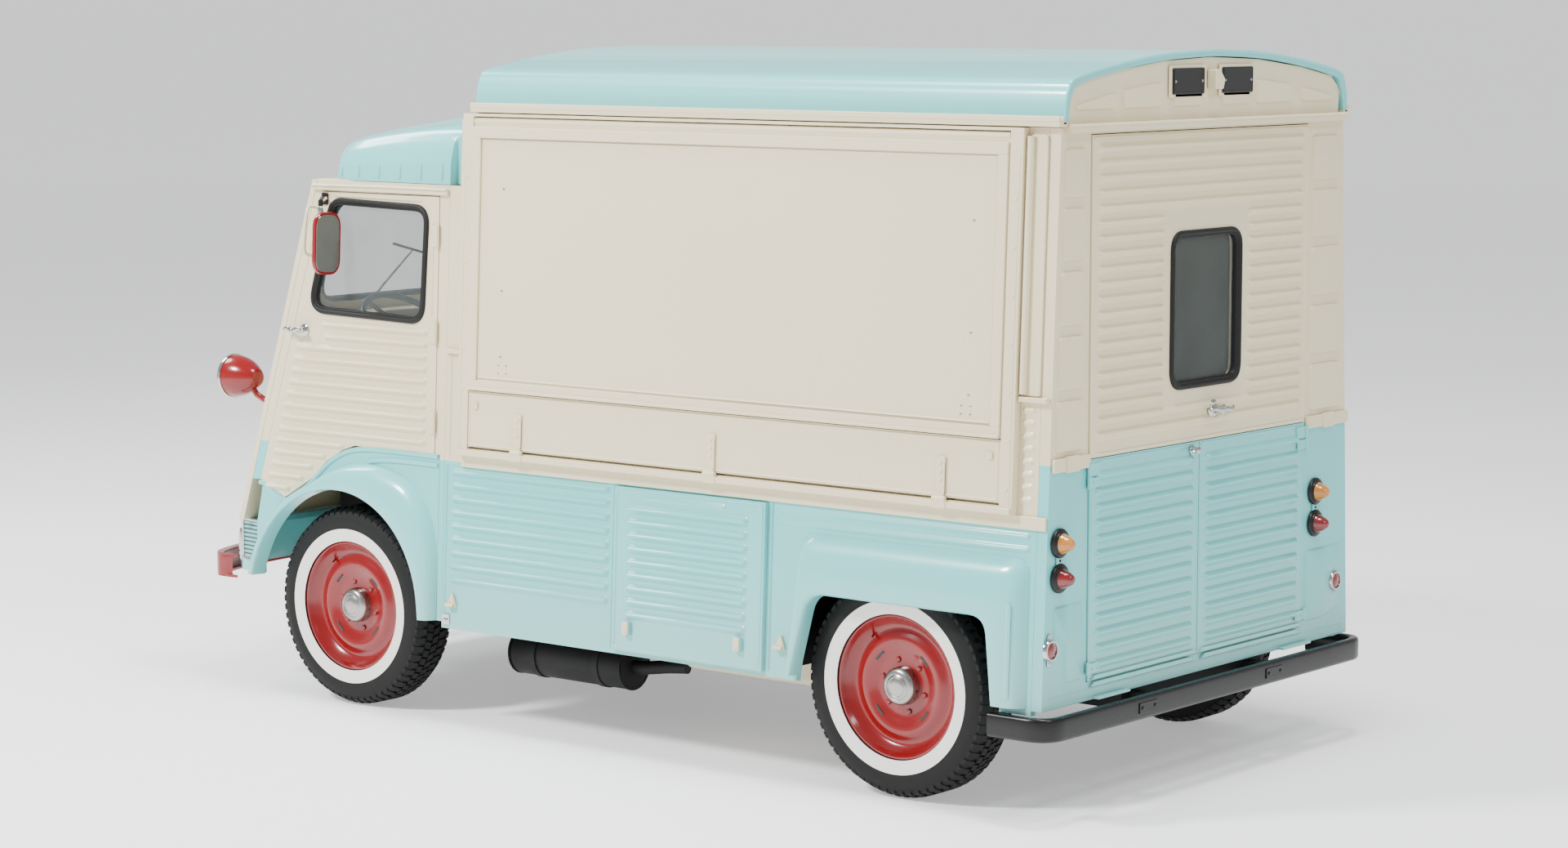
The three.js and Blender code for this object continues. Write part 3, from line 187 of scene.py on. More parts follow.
# ---- Meshes ----
class Draft:
    """Points and faces of one piece while it is drawn."""

    def __init__(self):
        self.points = []
        self.faces = []
        self.finish = 0
        self.solid = True

    def put(self, points):
        """Adds points and gives their numbers."""
        first = len(self.points)
        self.points.extend(Vector(p) for p in points)
        return list(range(first, len(self.points)))

    def face(self, corners, flip=False):
        """A face between numbered points."""
        self.faces.append((corners[::-1] if flip else corners, self.finish, self.solid))

    def band(self, a, b, closed=True, flip=False):
        """Faces between two rows of numbered points."""
        for i in range(len(a) if closed else len(a) - 1):
            j = (i + 1) % len(a)
            self.face([a[i], a[j], b[j], b[i]], flip)

    def loft(self, loops, closed=True, caps=True, ring=False):
        """A solid skin through loops of points. With ring, the last loop meets the first."""
        rings = [self.put(loop) for loop in loops]
        for a, b in zip(rings, rings[1:] + (rings[:1] if ring else [])):
            self.band(a, b, closed)
        if caps and not ring:
            self.face(rings[0][::-1])
            self.face(rings[-1])
        return rings

    def pressing(self, at, loops, heights, fill=True):
        """An open skin on a panel through outlines, the outermost first."""
        zero = at(*loops[0][0], 0)
        u = at(loops[0][0][0] + 1, loops[0][0][1], 0) - zero
        v = at(loops[0][0][0], loops[0][0][1] + 1, 0) - zero
        out = at(*loops[0][0], 1) - zero
        flip = u.cross(v).dot(out) < 0
        was, self.solid = self.solid, False
        rings = [self.put([at(p[0], p[1], h) for p in loop]) for loop, h in zip(loops, heights)]
        for a, b in zip(rings, rings[1:]):
            self.band(a, b, True, flip)
        if fill:
            self.face(rings[-1], flip)
        self.solid = was

    def rib(self, at, start, end, half=18, height=9, steps=4, ends=6, sink=0.6):
        """A rounded rib pressed out of a panel, from one point to another."""
        a, b = Vector(start), Vector(end)
        along = (b - a).normalized()
        heading = math.atan2(along.y, along.x)
        a, b = a + along * half, b - along * half
        loops, heights = [], []
        for k in range(steps + 1):
            share = 1 - 0.85 * k / steps
            loop = []
            for centre, turn in ((b, -math.pi / 2), (a, math.pi / 2)):
                for i in range(ends + 1):
                    angle = heading + turn + math.pi * i / ends
                    loop.append(centre + Vector((math.cos(angle), math.sin(angle))) * half * share)
            loops.append(loop)
            heights.append(height * swell(share) - (sink if k == 0 else 0))
        self.pressing(at, loops, heights)

    def pad(self, at, outline, height=4, shoulder=9, steps=3, sink=0.6):
        """A flat pad pressed out of a panel."""
        loops, heights = [], []
        for k in range(steps + 1):
            share = k / steps
            loops.append(grown(outline, -shoulder * share))
            heights.append(height * (1 - swell(share)) - (sink if k == 0 else 0))
        self.pressing(at, loops, heights)

    def bead(self, at, outline, half=9, height=4, steps=4, sink=0.6):
        """A raised line that runs round an outline."""
        loops, heights = [], []
        for k in range(-steps, steps + 1):
            loops.append(grown(outline, -half * k / steps))
            heights.append(height * swell(k / steps) - (sink if abs(k) == steps else 0))
        self.pressing(at, loops, heights, fill=False)

    def moulding(self, at, outline, profile):
        """A closed strip round an outline. The profile is (distance outwards, height) pairs."""
        loops = [[at(p[0], p[1], h) for p in grown(outline, d)] for d, h in profile]
        self.loft(loops, ring=True)

    def slab(self, at, outline, low, high, edge=1.5):
        """A plate of an outline, between two distances from a panel, with softened edges."""
        inner = grown(outline, -edge)
        layers = [(inner, low), (outline, low + edge), (outline, high - edge), (inner, high)]
        self.loft([[at(p[0], p[1], h) for p in loop] for loop, h in layers])

    def tube(self, points, radius, sides=10, closed=False):
        """A round bar along points. The radius may be one number or one for each point."""
        pts = [Vector(p) for p in points]
        radii = radius if isinstance(radius, list) else [radius] * len(pts)
        normal = None
        loops = []
        count = len(pts)
        for i, p in enumerate(pts):
            if closed:
                along = (pts[(i + 1) % count] - pts[i - 1]).normalized()
            else:
                along = (pts[min(i + 1, count - 1)] - pts[max(i - 1, 0)]).normalized()
            if normal is None:
                normal = along.orthogonal().normalized()
            normal = (normal - along * normal.dot(along)).normalized()
            other = along.cross(normal)
            loops.append([
                p + (normal * math.cos(t) + other * math.sin(t)) * radii[i]
                for t in (2 * math.pi * k / sides for k in range(sides))
            ])
        self.loft(loops, ring=closed)

    def turned(self, origin, axis, profile, sides=32, start=0.0, ring=False):
        """A body of revolution. The profile is (distance along the axis, radius) pairs."""
        axis = Vector(axis).normalized()
        first = axis.orthogonal().normalized()
        second = axis.cross(first)
        origin = Vector(origin)
        angles = [start + 2 * math.pi * k / sides for k in range(sides)]
        loops = [
            [origin + axis * d + (first * math.cos(t) + second * math.sin(t)) * max(r, 0.01)
             for t in angles]
            for d, r in profile
        ]
        return self.loft(loops, ring=ring)

    def dome(self, at, u, v, radius, height, base=0.0, sides=12):
        """A domed head, such as a rivet's or a screw's, on a panel."""
        zero = at(u, v, base)
        axis = (at(u, v, base + 1) - zero).normalized()
        self.turned(zero, axis, [
            (-1, radius), (height * 0.35, radius), (height * 0.75, radius * 0.75),
            (height, radius * 0.35), (height, 0),
        ], sides)

    def block(self, low, high):
        """A box between two corners; its piece's bevel rounds the edges."""
        x0, y0, z0 = low
        x1, y1, z1 = high
        self.loft([[(x0, y0, z), (x1, y0, z), (x1, y1, z), (x0, y1, z)] for z in (z0, z1)])


def build(name, draft, finishes, body="truck_body", replaces=(), bevel=0.0,
          sharp=40.0):
    """Turns a draft into a piece that rides on a body."""
    mesh = bpy.data.meshes.new(name)
    mesh.from_pydata(
        [(p.x / 1000 + AXLE, p.y / 1000, p.z / 1000) for p in draft.points],
        [],
        [face for face, _, _ in draft.faces],
    )
    for finish in finishes:
        mesh.materials.append(FINISHES[finish])
    for polygon, (_, index, _) in zip(mesh.polygons, draft.faces):
        polygon.material_index = index
    work = bmesh.new()
    work.from_mesh(mesh)
    work.faces.ensure_lookup_table()
    solids = [f for f, (_, _, solid) in zip(work.faces, draft.faces) if solid]
    if solids:
        bmesh.ops.recalc_face_normals(work, faces=solids)
    bmesh.ops.remove_doubles(work, verts=work.verts, dist=2e-5)
    work.to_mesh(mesh)
    work.free()
    mesh.shade_smooth()
    mesh.set_sharp_from_angle(angle=math.radians(sharp))
    piece = bpy.data.objects.new(name, mesh)
    bpy.context.scene.collection.objects.link(piece)
    if bevel:
        soften(piece, bevel)
    if body:
        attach(piece, body)
    if replaces:
        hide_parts(*replaces)
    return piece


def soften(piece, width):
    """Rounds a piece's hard edges by a width in millimetres."""
    edge = piece.modifiers.new("Rounded edges", "BEVEL")
    edge.width = width / 1000
    edge.segments = 2
    edge.limit_method = "ANGLE"
    edge.angle_limit = math.radians(38)
    edge.harden_normals = False


# ---- Finishes ----
class Value:
    """A shader socket that can stand in a Python sum."""

    def __init__(self, finish, socket):
        self.finish, self.socket = finish, socket

    def reckon(self, operation, a, b):
        return self.finish.node("ShaderNodeMath", {"operation": operation}, {0: a, 1: b})

    def __add__(self, other):
        return self.reckon("ADD", self, other)

    def __radd__(self, other):
        return self.reckon("ADD", other, self)

    def __mul__(self, other):
        return self.reckon("MULTIPLY", self, other)

    def __gt__(self, other):
        return self.reckon("GREATER_THAN", self, other)


class Finish:
    """A procedural material, made by one method for its nodes."""

    def __init__(self, name, sockets):
        self.material = bpy.data.materials.new(name)
        self.material.use_nodes = True
        self.tree = self.material.node_tree
        self.tree.nodes.clear()
        self.shader = self.tree.nodes.new("ShaderNodeBsdfPrincipled")
        output = self.tree.nodes.new("ShaderNodeOutputMaterial")
        self.tree.links.new(self.shader.outputs[0], output.inputs[0])
        for socket, value in sockets.items():
            self.shader.inputs[socket].default_value = value
        self.place = self.node("ShaderNodeTexCoord", {}, {}, "Object")
        FINISHES[name] = self.material

    def node(self, kind, settings, sockets, output=0):
        """Adds a node, sets or links its sockets, and gives one of its outputs."""
        made = self.tree.nodes.new(kind)
        for key, value in settings.items():
            setattr(made, key, value)
        for key, value in sockets.items():
            if isinstance(value, Value):
                self.tree.links.new(value.socket, made.inputs[key])
            else:
                made.inputs[key].default_value = value
        return Value(self, made.outputs[output])

    def noise(self, scale, detail=3.0, place=None, roughness=0.5):
        return self.node(
            "ShaderNodeTexNoise", {},
            {"Vector": place or self.place, "Scale": scale, "Detail": detail, "Roughness": roughness},
        )

    def along(self, axis):
        """The place along X, Y or Z."""
        return self.node("ShaderNodeSeparateXYZ", {}, {0: self.place}, axis)

    def between(self, value, low, high):
        """0 at low, 1 at high, with a soft change from one to the other."""
        return self.node(
            "ShaderNodeMapRange", {"interpolation_type": "SMOOTHSTEP"},
            {"Value": value, "From Min": low, "From Max": high, "To Min": 0.0, "To Max": 1.0},
        )

    def mix(self, share, a, b):
        return self.node("ShaderNodeMix", {"data_type": "RGBA"}, {0: share, 6: a, 7: b}, 2)

    def stretched(self, scale):
        return self.node("ShaderNodeMapping", {}, {"Vector": self.place, "Scale": scale})

    def feed(self, socket, value):
        """Links a value to a socket of the shader."""
        self.tree.links.new(value.socket, self.shader.inputs[socket])

    def bump(self, height, strength, distance):
        """Lets a height shade the surface."""
        made = self.node(
            "ShaderNodeBump", {}, {"Height": height, "Strength": strength, "Distance": distance}
        )
        self.feed("Normal", made)


FINISHES = {}  # every material by its name


def tinted(colour, by):
    """A colour made lighter or darker, with its alpha."""
    return (*[min(1.0, c * by) for c in colour[:3]], 1.0)


def enamel(name, colour, roughness, coat, lower=None, line=0.0, dust=0.25):
    """Sprayed enamel with slight clouding, orange peel and road dust low down."""
    finish = Finish(name, {"Coat Weight": coat, "Coat Roughness": 0.06, "IOR": 1.5})
    height = finish.along("Z")
    clouds = finish.noise(2.2, 4.0)
    fine = finish.noise(55.0, 5.0, roughness=0.65)
    tone = tinted(colour, 1.0)
    if lower:
        tone = finish.mix(height > line, tinted(lower, 1.0), tinted(colour, 1.0))
    faded = finish.node(
        "ShaderNodeMix", {"data_type": "RGBA", "blend_type": "MULTIPLY"},
        {0: 1.0, 6: tone, 7: finish.mix(clouds, (0.94, 0.94, 0.93, 1), (1.0, 1.0, 1.0, 1))}, 2,
    )
    low = finish.between(height, 0.75, 0.3)
    specks = finish.between(fine, 0.45, 0.72)
    share = low * dust + specks * min(dust, 0.05)
    finish.feed("Base Color", finish.mix(share, faded, (0.36, 0.33, 0.28, 1)))
    finish.feed("Roughness", roughness + clouds * 0.06 + share * 0.5)
    finish.bump(finish.noise(420.0, 2.0) * 0.6 + clouds * 0.4, 0.12, 0.0006)
    return finish.material


def plain(name, colour, roughness, metallic=0.0, grain=60.0, depth=0.1, extra=None, stretch=None,
          shade=0.85, distance=0.0004):
    """A finish with fine mottling, for rubber, plastics and bare metals."""
    finish = Finish(name, {"Metallic": metallic, **(extra or {})})
    place = finish.stretched(stretch) if stretch else finish.place
    mottle = finish.noise(grain, 4.0, place)
    broad = finish.noise(6.0, 3.0)
    finish.feed("Base Color", finish.mix(
        mottle * 0.6 + broad * 0.4, tinted(colour, shade), tinted(colour, 2 - shade)))
    finish.feed("Roughness", roughness - 0.06 + broad * 0.08 + mottle * 0.06)
    finish.bump(mottle, depth, distance)
    return finish.material


def hide(name, colour):
    """Grained seat vinyl with creases."""
    finish = Finish(name, {"Sheen Weight": 0.15, "Specular IOR Level": 0.4})
    cells = finish.node("ShaderNodeTexVoronoi", {"feature": "DISTANCE_TO_EDGE"},
                        {"Vector": finish.place, "Scale": 420.0})
    broad = finish.noise(9.0, 4.0)
    finish.feed("Base Color", finish.mix(broad, tinted(colour, 0.8), tinted(colour, 1.25)))
    finish.feed("Roughness", 0.48 + broad * 0.14)
    finish.bump(finish.between(cells, 0.0, 0.25) * 0.5 + broad * 0.5, 0.35, 0.0008)
    return finish.material


def pane(name, colour):
    """Clear window glass with a trace of dust."""
    finish = Finish(name, {"Transmission Weight": 0.0, "Specular IOR Level": 0.6, "IOR": 1.45})
    dust = finish.noise(7.0, 5.0)
    finish.feed("Base Color", finish.mix(dust, tinted(colour, 0.9), tinted(colour, 1.0)))
    finish.feed("Roughness", 0.03 + dust * 0.05)
    finish.feed("Alpha", 0.1 + dust * 0.08)
    return finish.material


def lens(name, colour):
    """Moulded lamp plastic with fine ribs."""
    finish = Finish(name, {"Coat Weight": 0.7, "Subsurface Weight": 0.0})
    ribs = finish.node("ShaderNodeTexWave", {"wave_type": "BANDS", "bands_direction": "Z"},
                       {"Vector": finish.place, "Scale": 60.0})
    deep = finish.noise(30.0, 2.0)
    finish.feed("Base Color", finish.mix(deep, tinted(colour, 0.7), tinted(colour, 1.3)))
    finish.feed("Roughness", 0.12 + deep * 0.08)
    finish.bump(ribs, 0.25, 0.001)
    return finish.material


def studio_floor(name, colour):
    """The pale sweep under the van."""
    finish = Finish(name, {})
    soft = finish.noise(0.6, 3.0)
    finish.feed("Base Color", finish.mix(soft, tinted(colour, 0.99), tinted(colour, 1.0)))
    finish.feed("Roughness", 0.6 + soft * 0.05)
    finish.shader.inputs["Emission Color"].default_value = tinted(colour, 1.0)
    finish.shader.inputs["Emission Strength"].default_value = 0.5
    return finish.material


# ---- What a user may change ----
def colour_choice(name, text, value):
    """A colour that is set in the panel."""
    return bpy.props.FloatVectorProperty(
        name=name, description=text, subtype="COLOR", size=3, default=value, min=0, max=1
    )


def size_choice(name, text, value):
    """A size that is set in the panel."""
    return bpy.props.FloatProperty(name=name, description=text, default=value, min=0.1, soft_max=400)


class VanColours(bpy.types.PropertyGroup):
    """Colours of the van's finishes."""

    cream: colour_choice("Cream", "Upper body, doors and hatch", (0.73, 0.64, 0.43))
    turquoise: colour_choice("Turquoise", "Roofs, fenders and lower body", (0.16, 0.57, 0.575))
    red: colour_choice("Red", "Wheels, headlights and mirrors", (0.2, 0.0012, 0.0022))
    black: colour_choice("Black", "Bumper, chassis and trim", (0.006, 0.006, 0.006))
    rubber: colour_choice("Rubber", "Tyres and window seals", (0.009, 0.009, 0.009))
    whitewall: colour_choice("White band", "Band on each tyre's side", (0.76, 0.74, 0.68))
    amber: colour_choice("Amber", "Upper tail lamps", (0.48, 0.17, 0.012))
    ruby: colour_choice("Ruby", "Lower tail lamps and reflectors", (0.17, 0.001, 0.003))
    vinyl: colour_choice("Vinyl", "Bench seat", (0.05, 0.032, 0.022))


class VanSizes(bpy.types.PropertyGroup):
    """Sizes of the pressings and trim, in millimetres."""

    rib_half: size_choice("Rib half width", "Half the width of a pressed rib", 17.5)
    rib_height: size_choice("Rib height", "How far a rib stands out of its panel", 14.0)
    rib_step: size_choice("Rib step", "Distance from one rib to the next", 48.5)
    seal_width: size_choice("Seal width", "Width of a rubber window seal", 26.0)
    band_inner: size_choice("White band, inside", "Inner radius of the white band", 238.0)
    band_outer: size_choice("White band, outside", "Outer radius of the white band", 284.0)
    tread_blocks: bpy.props.IntProperty(
        name="Tread blocks", description="Blocks round each row of a tyre's tread", default=66, min=12
    )


def sizes():
    """The sizes that are set in the panel."""
    return bpy.context.scene.van_sizes


def ladder(draft, at, u0, u1, top, bottom, count, **options):
    """Ribs one under another, between two positions."""
    for i in range(count):
        v = top + (bottom - top) * i / max(1, count - 1)
        ends = [e(v) if callable(e) else e for e in (u0, u1)]
        if ends[1] - ends[0] > 60:
            draft.rib(at, (ends[0], v), (ends[1], v), half=sizes().rib_half,
                      height=sizes().rib_height, **options)


class VAN_OT_finishes(bpy.types.Operator):
    """Make every finish of the van"""

    bl_idname = "van.finishes"
    bl_label = "Finishes"

    def execute(self, context):
        c = context.scene.van_colours
        enamel("cream enamel", c.cream, 0.42, 0.15)
        enamel("turquoise enamel", c.turquoise, 0.26, 0.6)
        enamel("side enamel", c.cream, 0.36, 0.3, lower=c.turquoise, line=BELT / 1000)
        enamel("rear enamel", c.cream, 0.38, 0.3, lower=c.turquoise, line=REAR_BELT / 1000)
        enamel("red enamel", c.red, 0.18, 0.2, dust=0.0)
        plain("black enamel", c.black, 0.25, grain=25.0, depth=0.05, extra={"Specular IOR Level": 0.3})
        plain("chassis black", c.black, 0.55, grain=30.0, depth=0.2, extra={"Specular IOR Level": 0.25})
        plain("rubber", c.rubber, 0.55, grain=140.0, depth=0.25, extra={"Specular IOR Level": 0.25})
        plain("tyre rubber", c.rubber, 0.66, grain=180.0, depth=0.35, extra={"Specular IOR Level": 0.2})
        plain("white band", c.whitewall, 0.6, grain=90.0, shade=0.96)
        plain("chrome", (0.5, 0.5, 0.49), 0.1, 1.0, grain=12.0, depth=0.02, shade=0.97)
        plain("worn chrome", (0.34, 0.33, 0.31), 0.26, 1.0, grain=40.0, depth=0.08, shade=0.85)
        plain("brushed steel", (0.42, 0.42, 0.41), 0.34, 1.0, grain=90.0, depth=0.1,
              stretch=(0.1, 1.0, 1.0), shade=0.92)
        plain("cast iron", (0.1, 0.1, 0.1), 0.6, 0.7, grain=70.0, depth=0.4)
        plain("mirror glass", (0.6, 0.61, 0.61), 0.12, 1.0, grain=3.0, depth=0.0, shade=0.98)
        plain("black plastic", (0.008, 0.008, 0.008), 0.35, grain=120.0, depth=0.15,
              extra={"Specular IOR Level": 0.3})
        plain("mesh shadow", (0.03, 0.032, 0.03), 0.8, grain=30.0)
        hide("seat vinyl", c.vinyl)
        pane("window glass", (0.22, 0.25, 0.25))
        lens("amber lens", c.amber)
        lens("ruby lens", c.ruby)
        pane("lamp glass", (0.85, 0.87, 0.85))
        studio_floor("studio floor", (0.86, 0.86, 0.86))
        return {"FINISHED"}


# The frame's nodes that each finish is painted on.
PAINTED = {
    "cream enamel": ["bulkhead", "cab_front", "hatch_frame", "serving_hatch", "counter_flap", "tailgate",
                     "bonnet"],
    "side enamel": ["box_left_wall", "box_right_wall", "door_frame_left", "door_frame_right"],
    "rear enamel": ["rear_frame"],
    "turquoise enamel": ["access_flap", "rear_door_left", "rear_door_right", "front_apron"],
    "chassis black": ["chassis_frame", "cab_floor"],
    "red enamel": ["front_bumper"],
    "cast iron": ["engine_unit", "knuckle_left", "knuckle_right"],
    "brushed steel": ["serving_counter", "back_counter"],
    "window glass": ["windscreen", "door_glass_left", "door_glass_right", "tailgate_glass"],
}


class VAN_OT_plain_panels(bpy.types.Operator):
    """Paint the panels whose solid shape is the shape that shows, and round their edges"""

    bl_idname = "van.plain_panels"
    bl_label = "Plain panels"

    def execute(self, context):
        for finish, names in PAINTED.items():
            for name in names:
                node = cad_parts[name]
                node.data.materials.clear()
                node.data.materials.append(FINISHES[finish])
                if "glass" not in name and name != "windscreen":
                    soften(node, 2.0)
        for side in SIDES:
            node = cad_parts["cab_door_" + side]
            node.data.materials.clear()
            node.data.materials.append(FINISHES["cream enamel"])
            soften(node, 2.0)
        return {"FINISHED"}


class VAN_OT_side_pressings(bpy.types.Operator):
    """Press the ribs and seams of both side walls and the access flap"""

    bl_idname = "van.side_pressings"
    bl_label = "Side pressings"

    def execute(self, context):
        self.serving_side()
        self.access()
        self.plain_side()
        return {"FINISHED"}

    def serving_side(self):
        at = on_side(1)
        ribs = Draft()
        ladder(ribs, at, 1195, 1950, 908, 526, 9)
        for v in (906, 866):
            ribs.rib(at, (-548, v), (470, v), half=14, height=7)
        for i in range(8):
            v = 1299 - i * 39.7
            ribs.rib(at, (-553, v), (-496, v), half=14, height=6)
            ribs.rib(at, (1903, v), (1938, v), half=14, height=6)
        for x in (1181, 1972):
            ribs.rib(at, (x, 362), (x, 938), half=7, height=5)
        ribs.rib(at, (1962, 952), (1962, 1330), half=8, height=5)
        ribs.rib(at, (486, 368), (486, 938), half=7, height=6)
        build("left_wall_ribs", ribs, ["side enamel"])
        trim = Draft()
        trim.slab(at, oblong((-604, 930), (1898, 972), 3), 0.5, 9)
        trim.slab(at, oblong((-600, 1326), (-494, 1342), 3), 0.5, 22)
        trim.slab(at, oblong((-566, 1345), (-500, 2150), 10), 0.5, 9)
        trim.slab(at, oblong((1904, 1352), (1926, 2150), 8), 0.5, 9)
        trim.slab(at, oblong((1904, 1326), (1984, 1342), 3), 0.5, 15)
        trim.tube([at(-508, z, 16) for z in (1350, 1750, 2145)], 12, 12)
        build("left_wall_trim", trim, ["cream enamel"], bevel=1.0)
        fittings = Draft()
        for x, z in ((1930, 452), (434, 468)):
            hook = rounded([(x - 22, z - 22), (x + 24, z - 22), (x + 20, z - 12), (x - 2, z + 30)], 5)
            fittings.slab(at, hook, 0.5, 12)
            fittings.tube([at(x - 14, z - 16, 14), at(x + 18, z - 16, 22)], 7, 10)
        build("left_wall_hooks", fittings, ["cream enamel"], bevel=1.5)
        socket = Draft()
        socket.slab(at, oblong((1944, 362), (1982, 402), 6), 0.5, 5)
        socket.tube([at(1956, 382, 5), at(1956, 382, 12), at(1970, 382, 12), at(1970, 382, 5)], 3, 8)
        build("left_jack_socket", socket, ["chrome"], bevel=0.8)

    def access(self):
        def at(x, z, out):
            return on_side(1)(x, z, out + ACCESS_FACE)

        flap = Draft()
        ladder(flap, at, 572, 1108, 852, 492, 9)
        flap.rib(at, (668, 892), (1030, 892), half=15, height=7)
        flap.bead(at, oblong((516, 376), (1154, 916), 16), half=7, height=4)
        build("access_flap_ribs", flap, ["turquoise enamel"], "access_flap")
        latches = Draft()
        for x in (601, 1091):
            latches.slab(at, oblong((x - 13, 423), (x + 13, 470), 9), 10, 20)
            latches.dome(at, x, 434, 6, 4, 20)
        build("access_flap_latches", latches, ["cream enamel"], "access_flap", bevel=1.0)

    def plain_side(self):
        at = on_side(-1)
        ribs = Draft()
        for x0, x1 in ((-552, 470), (500, 1180), (1205, 1950)):
            low = 900 if x0 < 0 else 410
            ladder(ribs, at, x0, x1, 2120, low, int((2120 - low) / sizes().rib_step) + 1)
        for x in (486, 1193, 1972):
            ribs.rib(at, (x, 368), (x, 2150), half=7, height=6)
        build("right_wall_ribs", ribs, ["side enamel"])
        trim = Draft()
        trim.slab(at, oblong((-604, 930), (1980, 956), 3), 0.5, 8)
        trim.tube([at(x, 2156, 12) for x in (-560, 700, 1860)], 9, 10)
        build("right_wall_trim", trim, ["cream enamel"], bevel=1.0)


class VAN_OT_hatch(bpy.types.Operator):
    """Frame the serving hatch and the counter flap, with hinges and screws"""

    bl_idname = "van.hatch"
    bl_label = "Serving hatch"

    def execute(self, context):
        side = on_side(1)

        def face(x, z, out):
            return side(x, z, out + HATCH_FACE)

        self.hatch(side, face)
        self.flap(side, face)
        self.frame_trim(side)
        return {"FINISHED"}

    def hatch(self, side, face):
        hatch = Draft()
        for low, high in (((-436, 1209), (1848, 1244)), ((-436, 2086), (1848, 2124)),
                          ((-436, 1244), (-398, 2086)), ((1810, 1244), (1848, 2086))):
            hatch.slab(face, oblong(low, high, 2), 0, 9)
        hatch.bead(face, oblong((-392, 1252), (1804, 2078), 4), half=5, height=3)
        hatch.slab(face, oblong((-436, 1207), (1848, 1217), 2), 4, 16)
        build("hatch_border", hatch, ["cream enamel"], "serving_hatch", bevel=1.0)
        rail = Draft()
        rail.tube([side(x, 2144, 18) for x in (-437, 700, 1847)], 13, 14)
        build("hatch_hinge_rail", rail, ["cream enamel"], "serving_hatch", bevel=0.8)
        screws = Draft()
        spots = [(1700, 1912), (1700, 1560), (1700, 1330), (-310, 1880), (-310, 1530), (-310, 1335)]
        for x, z in spots:
            screws.dome(face, x, z, 5, 2)
        for x in (1690, -300):
            for dx, dz in ((-18, 0), (18, 0), (-18, -26), (18, -26)):
                screws.dome(face, x + dx, 1300 + dz, 4, 2)
        build("hatch_screws", screws, ["worn chrome"], "serving_hatch")

    def flap(self, side, face):
        flap = Draft()
        flap.bead(face, oblong((-430, 1014), (1842, 1194), 6), half=6, height=3)
        for x in (-400, 1812):
            flap.slab(face, oblong((x - 12, 1140), (x + 12, 1166), 8), 0, 7)
        build("counter_flap_border", flap, ["cream enamel"], "counter_flap")
        heads = Draft()
        for x in STRAP_HINGES:
            shape = rounded([
                (x - 17, 1012), (x + 17, 1012), (x + 17, 1126), (x + 9, 1136), (x - 17, 1136),
            ], 5)
            heads.slab(face, shape, 0.5, 9)
            for z in (1062, 1090, 1116):
                heads.dome(face, x, z, 8, 5, 9)
            heads.tube([side(x - 24, 1003, 40), side(x + 24, 1003, 40)], 9, 12)
        build("counter_flap_hinge_heads", heads, ["cream enamel"], "counter_flap", bevel=0.6)

    def frame_trim(self, side):
        def rim(x, z, out):
            return side(x, z, out + HATCH_FRAME_FACE)

        frame_trim = Draft()
        frame_trim.slab(side, oblong((-488, 974), (1895, 994), 3), 26, 42)
        for x in STRAP_HINGES:
            frame_trim.slab(side, oblong((x - 27, 972), (x + 27, 996), 4), 32, 46)
        frame_trim.rib(rim, (-478, 1000), (-478, 2090), half=5, height=3)
        frame_trim.rib(rim, (1885, 1000), (1885, 2090), half=5, height=3)
        for x in (-468, 1875):
            for z in range(1050, 2100, 150):
                frame_trim.dome(rim, x, z, 6, 3, 0, 10)
        build("hatch_frame_trim", frame_trim, ["cream enamel"], bevel=1.0)


def gable(y):
    """Height of the rear frame's top edge."""
    return 2378 - 1.25e-4 * y * y


